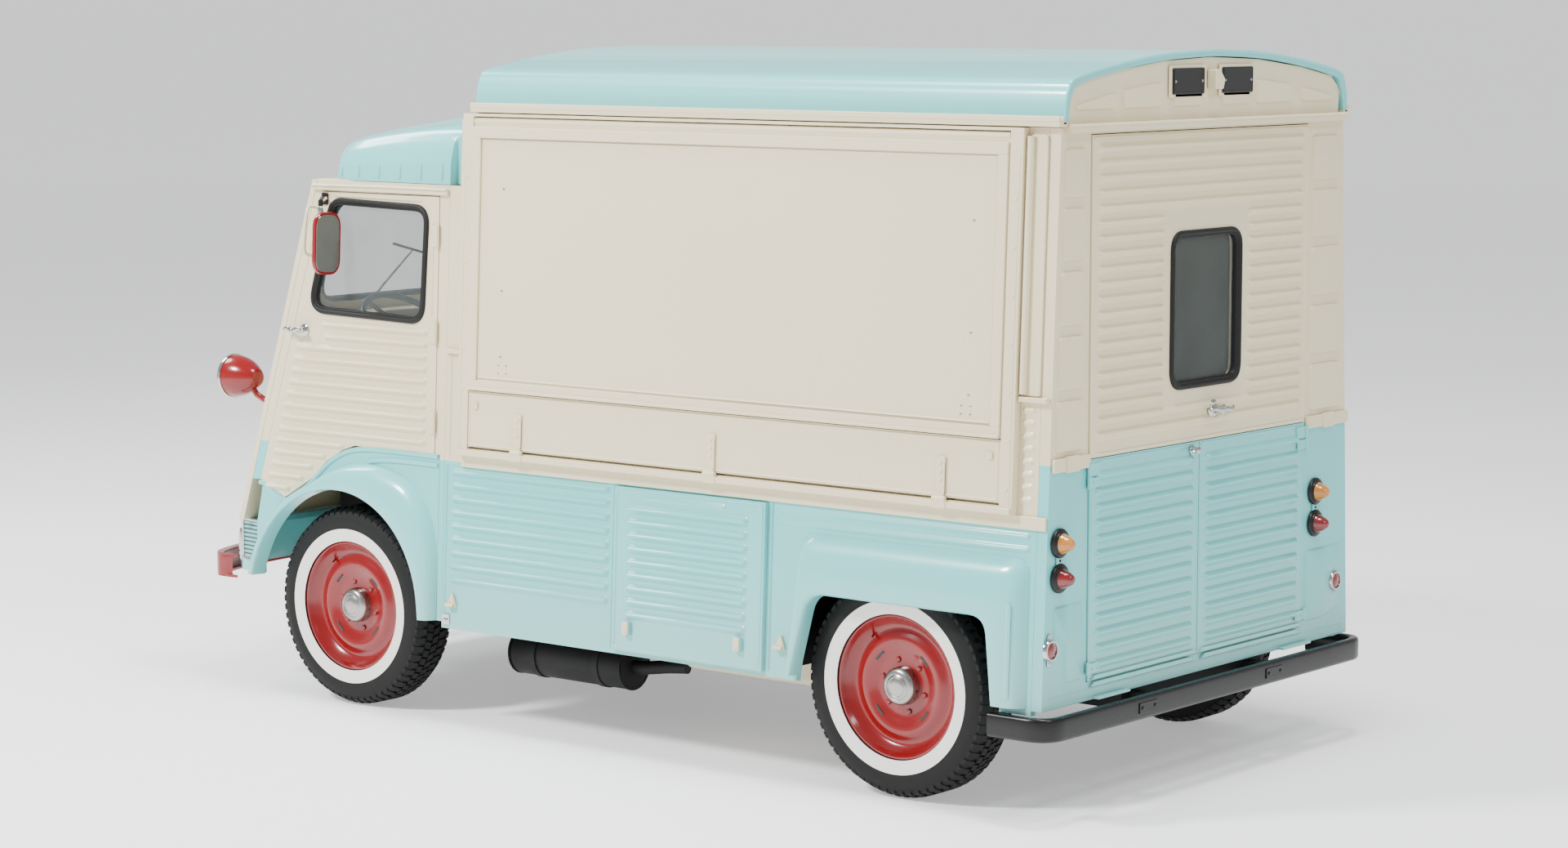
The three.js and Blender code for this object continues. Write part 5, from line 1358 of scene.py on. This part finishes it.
class VAN_OT_wheels(bpy.types.Operator):
    """Turn the tyres, rims and hub caps"""

    bl_idname = "van.wheels"
    bl_label = "Wheels"

    def execute(self, context):
        for name, side in SIDES.items():
            for end, x in (("front", WHEELBASE), ("rear", 0)):
                body = end + "_wheel_" + name
                origin = Vector((x, side * TRACK_HALF, TYRE_RADIUS))
                label = end + "_" + name
                self.tyre_wall(label, body, origin, side)
                self.tread(label, body, origin, side)
                self.rim(label, body, origin, side)
        return {"FINISHED"}

    def tyre_wall(self, label, body, origin, side):
        s = sizes()
        carcass = Draft()
        wall = [(70, 224), (72, 236), (79, s.band_inner - 1), (85, s.band_inner), (88, 246), (90.5, 262),
                (91.5, s.band_outer - 3), (92.6, s.band_outer), (93.4, 290), (92.6, 300), (93.2, 306),
                (91.5, 318), (87, 334), (80, 346), (70, 353), (60, 355.5)]
        profile = [(-d, r) for d, r in wall] + [(d, r) for d, r in wall[::-1]]
        sides = 96
        carcass.turned(origin, (0, side, 0), profile, sides, ring=True)
        radii = [r for _, r in profile]
        for i, (face, _, solid) in enumerate(carcass.faces):
            ring = i // sides
            low, high = sorted((radii[ring], radii[(ring + 1) % len(radii)]))
            if low >= s.band_inner - 0.5 and high <= s.band_outer + 0.5:
                carcass.faces[i] = (face, 1, solid)
        build("tyre_wall_" + label, carcass, ["tyre rubber", "white band"], body,
              replaces=["tyre_" + label], sharp=50)

    def tread(self, label, body, origin, side):
        tread = Draft()
        tread.solid = False
        first, second = Vector((1, 0, 0)), Vector((0, 0, 1))
        axis = Vector((0, side, 0))

        def place(angle, d, r):
            return origin + axis * d + (first * math.cos(angle) + second * math.sin(angle)) * r

        def drop(d):
            return max(0, abs(d) - 62) * 0.75

        rows = [(-86, -52, 0.5), (-46, -18, 0.0), (-13, 13, 0.5), (18, 46, 0.0), (52, 86, 0.5)]
        blocks = sizes().tread_blocks
        pitch = 2 * math.pi / blocks
        for d0, d1, shift in rows:
            shoulder = abs(d0 + d1) > 100
            for k in range(blocks):
                a0 = (k + shift) * pitch
                a1 = a0 + pitch * (0.62 if shoulder else 0.74)
                skew = 0.0 if shoulder else 0.012 * (1 if d0 < 0 else -1)
                corners = [(a0 - skew, d0), (a1 - skew, d0), (a1 + skew, d1), (a0 + skew, d1)]
                low = tread.put([place(a, d, 350 - drop(d)) for a, d in corners])
                high = tread.put([place(a, d, 364.6 - drop(d)) for a, d in corners])
                tread.band(low, high, True, side > 0)
                tread.face(high, side > 0)
        build("tyre_tread_" + label, tread, ["tyre rubber"], body, sharp=30)

    def rim(self, label, body, origin, side):
        axis = (0, side, 0)
        outer = [(79, 236), (80, 233), (79.5, 229), (76, 226.5), (68, 222), (58, 216), (47, 204),
                 (42, 199), (39, 193), (39, 186), (44, 174), (50.5, 163), (53.5, 154), (53.5, 146),
                 (50, 134), (43, 116), (38.5, 106), (37, 98), (37, 76), (38, 68), (38, 20)]
        inner = [(24, 20), (24, 78), (30, 118), (26, 150), (8, 186), (-62, 190), (-76, 228), (-80, 230),
                 (-80, 236), (-71, 236), (-70, 223), (70, 223), (71, 236)]
        rim = Draft()
        turn = Draft()
        rings = turn.turned(origin, axis, outer + inner, 72)
        rim.loft([[turn.points[i] for i in ring] for ring in rings], ring=True)
        build("rim_dish_" + label, rim, ["red enamel"], body, replaces=["rim_" + label],
              sharp=45)
        self.hub_cap(label, body, origin, axis)
        self.studs(label, body, origin, axis)

    def hub_cap(self, label, body, origin, axis):
        cap = Draft()
        cap.turned(origin, axis, [
            (36, 64), (56, 63), (66, 61), (73, 56), (77, 49), (78, 44), (77, 42), (78, 39),
            (80, 37), (81, 33), (80, 31), (82.5, 26), (83.5, 14), (83.8, 0)], 56)
        build("hub_cap_" + label, cap, ["worn chrome"], body, sharp=35)

    def studs(self, label, body, origin, axis):
        bits = Draft()
        first, second = Vector((1, 0, 0)), Vector((0, 0, 1))

        def at(angle, radius, out):
            spoke = first * math.cos(angle) + second * math.sin(angle)
            return origin + Vector(axis) * out + spoke * radius

        for k in range(6):
            angle = 2 * math.pi * (k + 0.25) / 6
            bits.turned(at(angle, 86, 35), axis, [(0, 10), (6, 10), (9, 7), (9, 0)], 6, 0.3)
        bits.tube([at(0.9, 196, 40), at(0.9, 190, 52), at(0.9, 186, 60)], [4, 4, 3], 8)
        build("wheel_studs_" + label, bits, ["red enamel"], body, bevel=0.6)
        # Dark sheets sunk in the rim's slots: painted shade standing in for the shadow seen through the
        # openings
        slot_shade = Draft()
        for k in range(4):
            middle = 2 * math.pi * (k + 0.5) / 4
            loop = [at(middle + 0.16 * t, 124, 47.6) for t in (-1, -0.5, 0, 0.5, 1)]
            loop += [at(middle + 0.16 * t, 132, 47.6) for t in (1, 0.5, 0, -0.5, -1)]
            deep = [p + Vector(axis) * 2.2 for p in loop]
            slot_shade.loft([loop, deep])
        build("wheel_slot_shade_" + label, slot_shade, ["mesh shadow"], body)


class VAN_OT_nose(bpy.types.Operator):
    """Press the cab's front and bonnet, and fit the windscreen seal, grille, louvres and wipers"""

    bl_idname = "van.nose"
    bl_label = "Nose"

    def execute(self, context):
        self.front()
        self.front_ribs()
        self.bonnet()
        for name, side in SIDES.items():
            back = self.louvre(name, side)
            self.vent(name, side, back)
        for name, side in SIDES.items():
            self.headlight(name, side)
        for name, y in (("left", 420), ("right", -330)):
            self.wiper(name, y)
        return {"FINISHED"}

    def front(self):
        outline = oblong((-740, 1450), (740, 1850), 88, 8)
        window_seal("windscreen_seal", on_nose, outline, "truck_body", 44)
        bar = Draft()
        bar.slab(on_nose, oblong((-9, 1452), (9, 1848), 3), -6, 6)
        build("windscreen_bar", bar, ["rubber"])
        shelf = Draft()
        shelf.slab(on_nose, oblong((-800, 1392), (800, 1418), 8), 1, 12)
        build("windscreen_shelf", shelf, ["black plastic"], bevel=1.0)

    def front_ribs(self):
        ribs = Draft()
        for side in SIDES.values():
            for i in range(9):
                z = 1340 - i * 46
                a, b = sorted((side * 330, side * (wall_y(z) - 90)))
                ribs.rib(on_nose, (a, z), (b, z), half=16, height=7)
        ribs.rib(on_nose, (-720, 1885), (720, 1885), half=9, height=5)
        build("cab_front_ribs", ribs, ["cream enamel"])

    def bonnet(self):
        ribs = Draft()
        for y in (-250, -150, 150, 250):
            ribs.rib(on_bonnet, (y, 760), (y, 1085), half=13, height=6)
        build("bonnet_ribs", ribs, ["cream enamel"], "bonnet")
        grille = Draft()
        for i in range(11):
            z = 740 + i * 27
            grille.slab(on_bonnet, oblong((-105, z), (105, z + 11), 4), 1, 12)
        grille.moulding(on_bonnet, oblong((-112, 728), (112, 1030), 26), [
            (10, 0.5), (10, 9), (5, 13), (-3, 13), (-6, 8), (-6, 0.5)])
        build("bonnet_grille", grille, ["chrome"], "bonnet")
        handle = Draft()
        grip = ((-50, 1), (-46, 24), (-30, 30), (30, 30), (46, 24), (50, 1))
        handle.tube([on_bonnet(y, 1075, out) for y, out in grip], 6, 10)
        build("bonnet_handle", handle, ["chrome"], "bonnet")

    def louvre(self, name, side):
        def at(u, v, out):
            return Vector((2990 + u, side * (884 - (u + 36) * 0.153 + out), 566 + v))

        shape = oblong((-38, -76), (84, 70), 12)
        panel = Draft()
        panel.moulding(at, shape, [(6, 0), (6, 8), (2, 11), (-4, 9), (-5, 0)])
        slat = ((0, 1), (8, 9), (10, 8), (3, 1))
        for i in range(9):
            v = -66 + i * 15.5
            panel.loft([[at(u, v + dv, out) for dv, out in slat] for u in (-36, 24, 82)])
        build("louvre_" + name, panel, ["chrome"], sharp=35)
        back = Draft()
        back.slab(at, shape, -2, 1)
        return back

    def vent(self, name, side, back):
        along = Vector((83, -68, 0)).normalized()
        face = Vector((68, 83, 0)).normalized()

        def at(u, v, out):
            place = Vector((3088, 866, 548)) + along * u + face * out
            return Vector((place.x, side * place.y, place.z + v))

        vent = Draft()
        outline = rounded([(4, 48), (84, 24), (84, -56), (20, -74), (4, -20)], 12)
        vent.moulding(at, outline, [(4, 0), (4, 6), (0, 8), (-4, 6), (-5, 0)])
        for i in range(9):
            for k in range(7):
                u, v = 12 + k * 10.5 + (i % 2) * 5, -60 + i * 12
                if -62 + u * 0.1 < v < 46 - u * 0.32 and (v > -20 - u * 2.5):
                    vent.dome(at, u, v, 3.4, 2.4, 1, 8)
        build("nose_vent_" + name, vent, ["chrome"], sharp=50)
        back.slab(at, grown(outline, -3), -3, 1)
        build("louvre_shadow_" + name, back, ["mesh shadow"])

    def headlight(self, name, side):
        origin = Vector((3162, side * 760, 1154))
        shell = Draft()
        shell.turned(origin, (1, 0, 0), [
            (-66, 0), (-66, 20), (-62, 30), (-46, 41), (-24, 56), (0, 67.5), (24, 75), (44, 79), (60, 80),
            (66, 80), (66, 70), (40, 62), (30, 0)], 44)
        shell.tube([(3132, side * 760, 1114), (3118, side * 752, 1090), (3080, side * 738, 1066),
                    (front_x(1050) + 3, side * 720, 1050)], 12, 14)
        build("headlight_shell_" + name, shell, ["red enamel"],
              replaces=["headlight_" + name])
        rim = Draft()
        rim.turned(origin, (1, 0, 0), [
            (60, 74), (60, 83), (68, 85), (77, 82), (83, 74), (83, 70), (76, 68), (70, 68)], 44)
        build("headlight_rim_" + name, rim, ["chrome"])
        bowl = Draft()
        bowl.turned(origin, (1, 0, 0), [(74, 69), (60, 58), (48, 40), (42, 18), (42, 12), (52, 12), (56, 8),
                                        (57, 0)], 40)
        build("headlight_bowl_" + name, bowl, ["chrome"])
        glass = Draft()
        glass.turned(origin, (1, 0, 0), [(75, 70), (80, 66), (85, 50), (88, 26), (89, 0)], 40)
        build("headlight_glass_" + name, glass, ["lamp glass"])

    def wiper(self, name, y):
        def at(v, z, out):
            return Vector((front_x(z) + out, v, z))

        arm = Draft()
        arm.turned((front_x(1432) + 8, y, 1432), (1, 0, 0.28), [(0, 13), (10, 13), (16, 9), (18, 0)], 16)
        arm.tube([at(y, 1432, 22), at(y - 60, 1496, 27), at(y - 178, 1620, 24)], [6, 5, 3.5], 8)
        blade = [(y - 180 - 118, 1622 - 30, 18), (y - 180, 1622, 16), (y - 180 + 118, 1622 + 30, 18)]
        build("wiper_arm_" + name, arm, ["worn chrome"], "wiper_" + name,
              replaces=["wiper_" + name])
        rubber = Draft()
        rubber.tube([at(v, z, out) for v, z, out in blade], 5, 6)
        rubber.tube([at(v * 0.5 + (y - 180) * 0.5, z * 0.5 + 811, out + 6) for v, z, out in blade], 3, 6)
        build("wiper_blade_" + name, rubber, ["rubber"], "wiper_" + name)


class VAN_OT_bumpers(bpy.types.Operator):
    """Roll the bumpers and hang the silencer and chassis fittings"""

    bl_idname = "van.bumpers"
    bl_label = "Bumpers and underside"

    def execute(self, context):
        self.rear()
        self.front()
        self.silencer()
        self.tank()
        return {"FINISHED"}

    def rear(self):
        low, high = 277, 352
        centre = smooth_u(-651, 963, -434, 82)
        bar = Draft()
        section = [(-17, low + 8), (-17, high - 8), (-14, high - 2), (-8, high), (10, high), (15, high - 4),
                   (17, high - 12), (17, low + 12), (15, low + 4), (10, low), (-8, low), (-14, low + 2)]
        loops = []
        count = len(centre)
        for i, p in enumerate(centre):
            along = (centre[min(i + 1, count - 1)] - centre[max(i - 1, 0)]).normalized()
            normal = Vector((along.y, -along.x))
            loops.append([(p.x + normal.x * d, p.y + normal.y * d, z) for d, z in section])
        bar.loft(loops)
        build("rear_bumper_bar", bar, ["black enamel"], replaces=["rear_bumper"],
              sharp=50)
        plates = Draft()

        def at(y, z, out):
            return Vector((-668 - out, y, z))

        for y in (420, -350):
            plates.slab(at, oblong((y - 52, 298), (y + 52, 334), 4), 0, 4)
            for dy in (-36, 36):
                plates.dome(at, y + dy, 316, 6, 4, 4)
        build("rear_bumper_plates", plates, ["black enamel"])

    def front(self):
        bar = Draft()
        section = [(36, 404), (38, 410), (38, 488), (36, 494), (2, 494), (0, 489), (0, 484), (26, 482),
                   (28, 476), (28, 422), (26, 416), (0, 414), (0, 408), (2, 404)]
        plan = smooth([(3120, 862), (3212, 846), (3300, 620), (3332, 330)], 6)
        plan = plan + [Vector((p.x, -p.y)) for p in plan[::-1]]
        bar.loft([[(p.x + g, p.y, z) for g, z in section] for p in plan])
        build("front_bumper_bar", bar, ["red enamel"], replaces=["front_bumper"], sharp=35)

    def silencer(self):
        pipe = Draft()
        pipe.turned((1360, 600, 232), (1, 0, 0), [
            (0, 24), (0, 60), (6, 76), (16, 82), (524, 82), (534, 76), (540, 60), (540, 24)], 36)
        tail = [(1362, 600, 232), (1310, 596, 234), (1230, 575, 244), (1150, 560, 250)]
        inlet = [(1898, 600, 232), (1925, 575, 238), (1942, 545, 246), (1960, 520, 250)]
        for route in (tail, inlet):
            pipe.tube(smooth(route, 4), 24, 16)
        for x in (1480, 1780):
            strap = [(x + d, r) for d, r in ((-14, 83), (-14, 86), (14, 86), (14, 83))]
            pipe.turned((0, 600, 232), (1, 0, 0), strap, 36)
            hanger = oblong((x - 14, 312), (x + 14, 366), 2)
            pipe.slab(lambda u, v, out: Vector((u, 600 + out, v)), hanger, -3, 3)
        for x in (1366, 1894):
            pipe.turned((0, 600, 232), (1, 0, 0), [(x - 3, 78), (x - 3, 84), (x + 3, 84), (x + 3, 78)], 36)
        build("silencer_body", pipe, ["chassis black"], replaces=["silencer"])

    def tank(self):
        tank = Draft()
        side_on = oblong((480, 262), (1120, 372), 40, 8)
        tank.slab(lambda x, z, out: Vector((x, 430 + out, z)), side_on, -4, 200, 20)
        build("side_tank", tank, ["cream enamel"], bevel=4.0)


def smooth_u(x_rear, y_side, x_end, radius, steps=10):
    """Centre line of a bumper seen from above, round both rear corners."""
    first = [Vector((x_end, y_side)), Vector((-520, y_side))]
    bend = corner((x_end, y_side), (x_rear, y_side), (x_rear, 0), radius, steps)
    half = first + bend + [Vector((x_rear, y)) for y in (700, 450, 200)]
    return half + [Vector((x_rear, 0))] + [Vector((p.x, -p.y)) for p in half[::-1]]


class VAN_OT_lamps(bpy.types.Operator):
    """Fit the conical tail lamps"""

    bl_idname = "van.lamps"
    bl_label = "Tail lamps"

    def execute(self, context):
        for name, y in (("left", 846), ("right", -695)):
            base, strip = Draft(), Draft()
            strip.slab(on_rear, oblong((y - 16, 744), (y + 16, 922), 14), 2, 7)
            build("tail_lamp_strip_" + name, strip, ["turquoise enamel"], bevel=1.0)
            for z in (888, 778):
                base.turned(on_rear(y, z, 4), (-1, 0, 0), [
                    (0, 47), (5, 47), (9, 44), (11, 38), (14, 37), (16, 33), (16, 26), (12, 24)], 32)
            for z in (750, 833, 916):
                base.dome(on_rear, y, z, 4, 3, 8, 10)
            build("tail_lamp_bases_" + name, base, ["black plastic"],
                  replaces=["tail_lamps_" + name])
            for z, finish in ((888, "amber lens"), (778, "ruby lens")):
                cone = Draft()
                cone.turned(on_rear(y, z, 16), (-1, 0, 0), [
                    (0, 33), (3, 33), (10, 29), (20, 25), (30, 20), (38, 15), (42, 11), (43.5, 6),
                    (44, 0)], 30)
                build("tail_lamp_%s_%s" % (finish.split()[0], name), cone, [finish])
        return {"FINISHED"}


class VAN_OT_cabin(bpy.types.Operator):
    """Furnish the cab: cushions, steering wheel and dashboard"""

    bl_idname = "van.cabin"
    bl_label = "Cabin"

    def execute(self, context):
        self.bench()
        self.wheel()
        self.dash()
        return {"FINISHED"}

    def cushion(self, centre, size, lean):
        """A stuffed cushion, pumped up by a cloth simulation and kept inside its box."""
        bpy.ops.mesh.primitive_cube_add(size=1)
        piece = bpy.context.object
        mesh = piece.data
        turn = Matrix.Rotation(lean, 4, "Y")
        mesh.transform(Matrix.Diagonal((*[s / 1000 for s in size], 1)))
        block = piece.modifiers.new("Corners", "BEVEL")
        block.width = min(size) / 1000 * 0.3
        block.segments = 3
        grain = piece.modifiers.new("Grain", "REMESH")
        grain.mode = "VOXEL"
        grain.voxel_size = 0.009
        bpy.ops.object.modifier_apply(modifier=block.name)
        bpy.ops.object.modifier_apply(modifier=grain.name)
        rest = [v.co.copy() for v in mesh.vertices]
        cloth = piece.modifiers.new("Stuffing", "CLOTH")
        cloth.settings.use_pressure = True
        cloth.settings.uniform_pressure_force = 4
        cloth.settings.effector_weights.gravity = 0
        scene = bpy.context.scene
        for step in range(1, 13):
            scene.frame_set(step)
        bpy.ops.object.modifier_apply(modifier=cloth.name)
        scene.frame_set(1)
        most = 0.012
        for v, start in zip(mesh.vertices, rest):
            move = v.co - start
            if move.length > most:
                v.co = start + move.normalized() * most
        place = Vector(centre) / 1000 + Vector((AXLE, 0, 0))
        mesh.transform(Matrix.Translation(place) @ turn)
        mesh.shade_smooth()
        skin = piece.modifiers.new("Smooth skin", "SUBSURF")
        skin.levels = skin.render_levels = 1
        mesh.materials.clear()
        mesh.materials.append(FINISHES["seat vinyl"])
        return piece

    def bench(self):
        pieces = []
        for i, y in enumerate((-242, 242)):
            seat = self.cushion((2303, y, 852), (380, 468, 78), 0.0)
            seat.name = "bench_cushion_%d" % (i + 1)
            back = self.cushion((2098, y, 1136), (62, 468, 490), -0.03)
            back.name = "bench_back_%d" % (i + 1)
            pieces += [seat, back]
        for piece in pieces:
            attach(piece, "truck_body")
            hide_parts("bench_seat")
        self.bench_base()

    def bench_base(self):
        base = Draft()
        base.block((2092, -484, 802), (2490, 484, 818))
        base.block((2056, -484, 866), (2066, 484, 1380))
        for y in (-242, 242):
            ring = oblong((2116, y - 230), (2492, y + 230), 34)
            base.tube([(p.x, p.y, 820) for p in ring], 5, 8, True)
        build("bench_base", base, ["black plastic"], replaces=["bench_seat"], bevel=3.0)

    def wheel(self):
        centre = Vector((2600, 450, 1345))
        turn = Matrix.Rotation(-0.66, 3, "Y")

        def at(angle, radius, height=0.0):
            return centre + turn @ Vector((math.cos(angle) * radius, math.sin(angle) * radius, height))

        ring = Draft()
        ring.tube([at(2 * math.pi * k / 56, 195) for k in range(56)], 12.5, 14, True)
        for angle in (0.5, 2.64, 4.71):
            ring.tube([at(angle, 26, -8), at(angle, 90, -10), at(angle, 150, -5), at(angle, 192, 0)],
                      [11, 9, 8, 9], 10)
        ring.turned(centre, turn @ Vector((0, 0, 1)), [
            (-34, 20), (-26, 32), (-4, 36), (8, 34), (13, 26), (15, 12), (15, 0)], 28)
        build("steering_wheel_rim", ring, ["black plastic"], "steering_wheel",
              replaces=["steering_wheel"])

    def dash(self):
        dials = Draft()

        def at(y, z, out):
            return Vector((front_x(z) - 34 - out, y, z))

        for y, r in ((450, 46), (350, 26), (550, 26)):
            dials.turned(at(y, 1360, 0), (-1, 0, 0), [
                (0, r + 5), (8, r + 5), (10, r), (6, r - 3), (6, 0)], 28)
        build("dials", dials, ["worn chrome"])


# Each light's name, place and aim in metres, width in metres and power in watts.
LIGHTS = [
    ("key_light", (3.5, 8.0, 8.5), (0, 0, 1), 2.2, 1900),
    ("fill_light", (-9.0, 2.5, 9.0), (0, 0, 1.0), 2.2, 420),
    ("rim_light", (7.0, 1.0, 7.0), (0.5, 0, 1), 3.0, 500),
    ("top_light", (-2.5, 1.0, 9.5), (-0.5, 0, 0), 2.6, 900),
]


class VAN_OT_stage(bpy.types.Operator):
    """Light the van on a pale sweep and set the camera"""

    bl_idname = "van.stage"
    bl_label = "Stage"

    def execute(self, context):
        scene = context.scene
        sweep = self.sweep()
        scene.world = self.air()
        lights = [self.light(scene, *choice) for choice in LIGHTS]
        scene.camera = self.camera(scene)
        return {"FINISHED"}

    def sweep(self):
        bowl = Draft()
        bowl.solid = False
        turns = [math.pi / 2 * i / 12 for i in range(13)]
        rise = [(44 + 16 * math.sin(t), 16 - 16 * math.cos(t)) for t in turns]
        rings = []
        for radius, height in [(8, 0), (24, 0)] + rise:
            rings.append(bowl.put([
                Vector((math.cos(t) * radius - AXLE, math.sin(t) * radius, height - 0.001)) * 1000
                for t in (2 * math.pi * k / 64 for k in range(64))]))
        for low, high in zip(rings, rings[1:]):
            bowl.band(low, high)
        bowl.face(rings[0])
        return build("studio_sweep", bowl, ["studio floor"], None, sharp=80)

    def air(self):
        world = bpy.data.worlds.new("Studio air")
        world.use_nodes = True
        background = world.node_tree.nodes["Background"]
        background.inputs["Color"].default_value = (0.95, 0.97, 1.0, 1)
        background.inputs["Strength"].default_value = 0.6
        return world

    def light(self, scene, name, place, aim, size, power):
        lamp = bpy.data.lights.new(name, "AREA")
        lamp.shape = "DISK"
        lamp.size = size
        lamp.energy = power
        light = bpy.data.objects.new(name, lamp)
        light.location = place
        light.rotation_euler = (Vector(aim) - Vector(place)).to_track_quat("-Z", "Y").to_euler()
        scene.collection.objects.link(light)
        return light

    def camera(self, scene):
        lens_data = bpy.data.cameras.new("camera")
        lens_data.sensor_width, lens_data.lens = 36.0, 82.02
        lens_data.clip_end = 200
        camera = bpy.data.objects.new("camera", lens_data)
        yaw, pitch = math.radians(-51.034), math.radians(6.678)
        level = math.cos(pitch)
        forward = Vector((math.cos(yaw) * level, math.sin(yaw) * level, -math.sin(pitch)))
        camera.location = (-8.192, 9.907, 2.544)
        camera.rotation_euler = forward.to_track_quat("-Z", "Y").to_euler()
        scene.collection.objects.link(camera)
        return camera


OPERATORS = [
    VAN_OT_finishes, VAN_OT_plain_panels, VAN_OT_side_pressings, VAN_OT_hatch, VAN_OT_rear_pressings,
    VAN_OT_rear_doors, VAN_OT_roofs, VAN_OT_cab_doors, VAN_OT_nose, VAN_OT_fenders, VAN_OT_wheels,
    VAN_OT_bumpers, VAN_OT_lamps, VAN_OT_cabin, VAN_OT_stage,
]


class VAN_PT_van(bpy.types.Panel):
    """Steps and settings of the van"""

    bl_idname = "VAN_PT_van"
    bl_label = "Serving van"
    bl_space_type = "VIEW_3D"
    bl_region_type = "UI"
    bl_category = "Van"

    def draw(self, context):
        for group in (context.scene.van_colours, context.scene.van_sizes):
            box = self.layout.box()
            for key in group.__annotations__:
                box.prop(group, key)
        for operator in OPERATORS:
            self.layout.operator(operator.bl_idname)


REGISTERED = [VanColours, VanSizes, *OPERATORS, VAN_PT_van]


def register():
    """Adds the operators, the settings and the panel."""
    for item in REGISTERED:
        bpy.utils.register_class(item)
    bpy.types.Scene.van_colours = bpy.props.PointerProperty(type=VanColours)
    bpy.types.Scene.van_sizes = bpy.props.PointerProperty(type=VanSizes)


def unregister():
    """Takes away what register added."""
    del bpy.types.Scene.van_sizes
    del bpy.types.Scene.van_colours
    for item in reversed(REGISTERED):
        bpy.utils.unregister_class(item)


def main():
    """Builds the whole van, one operator after another."""
    register()
    for operator in OPERATORS:
        step = getattr(bpy.ops.van, operator.bl_idname.split(".")[1])
        if step() != {"FINISHED"}:
            raise RuntimeError(operator.bl_label)


if __name__ == "__main__":
    main()
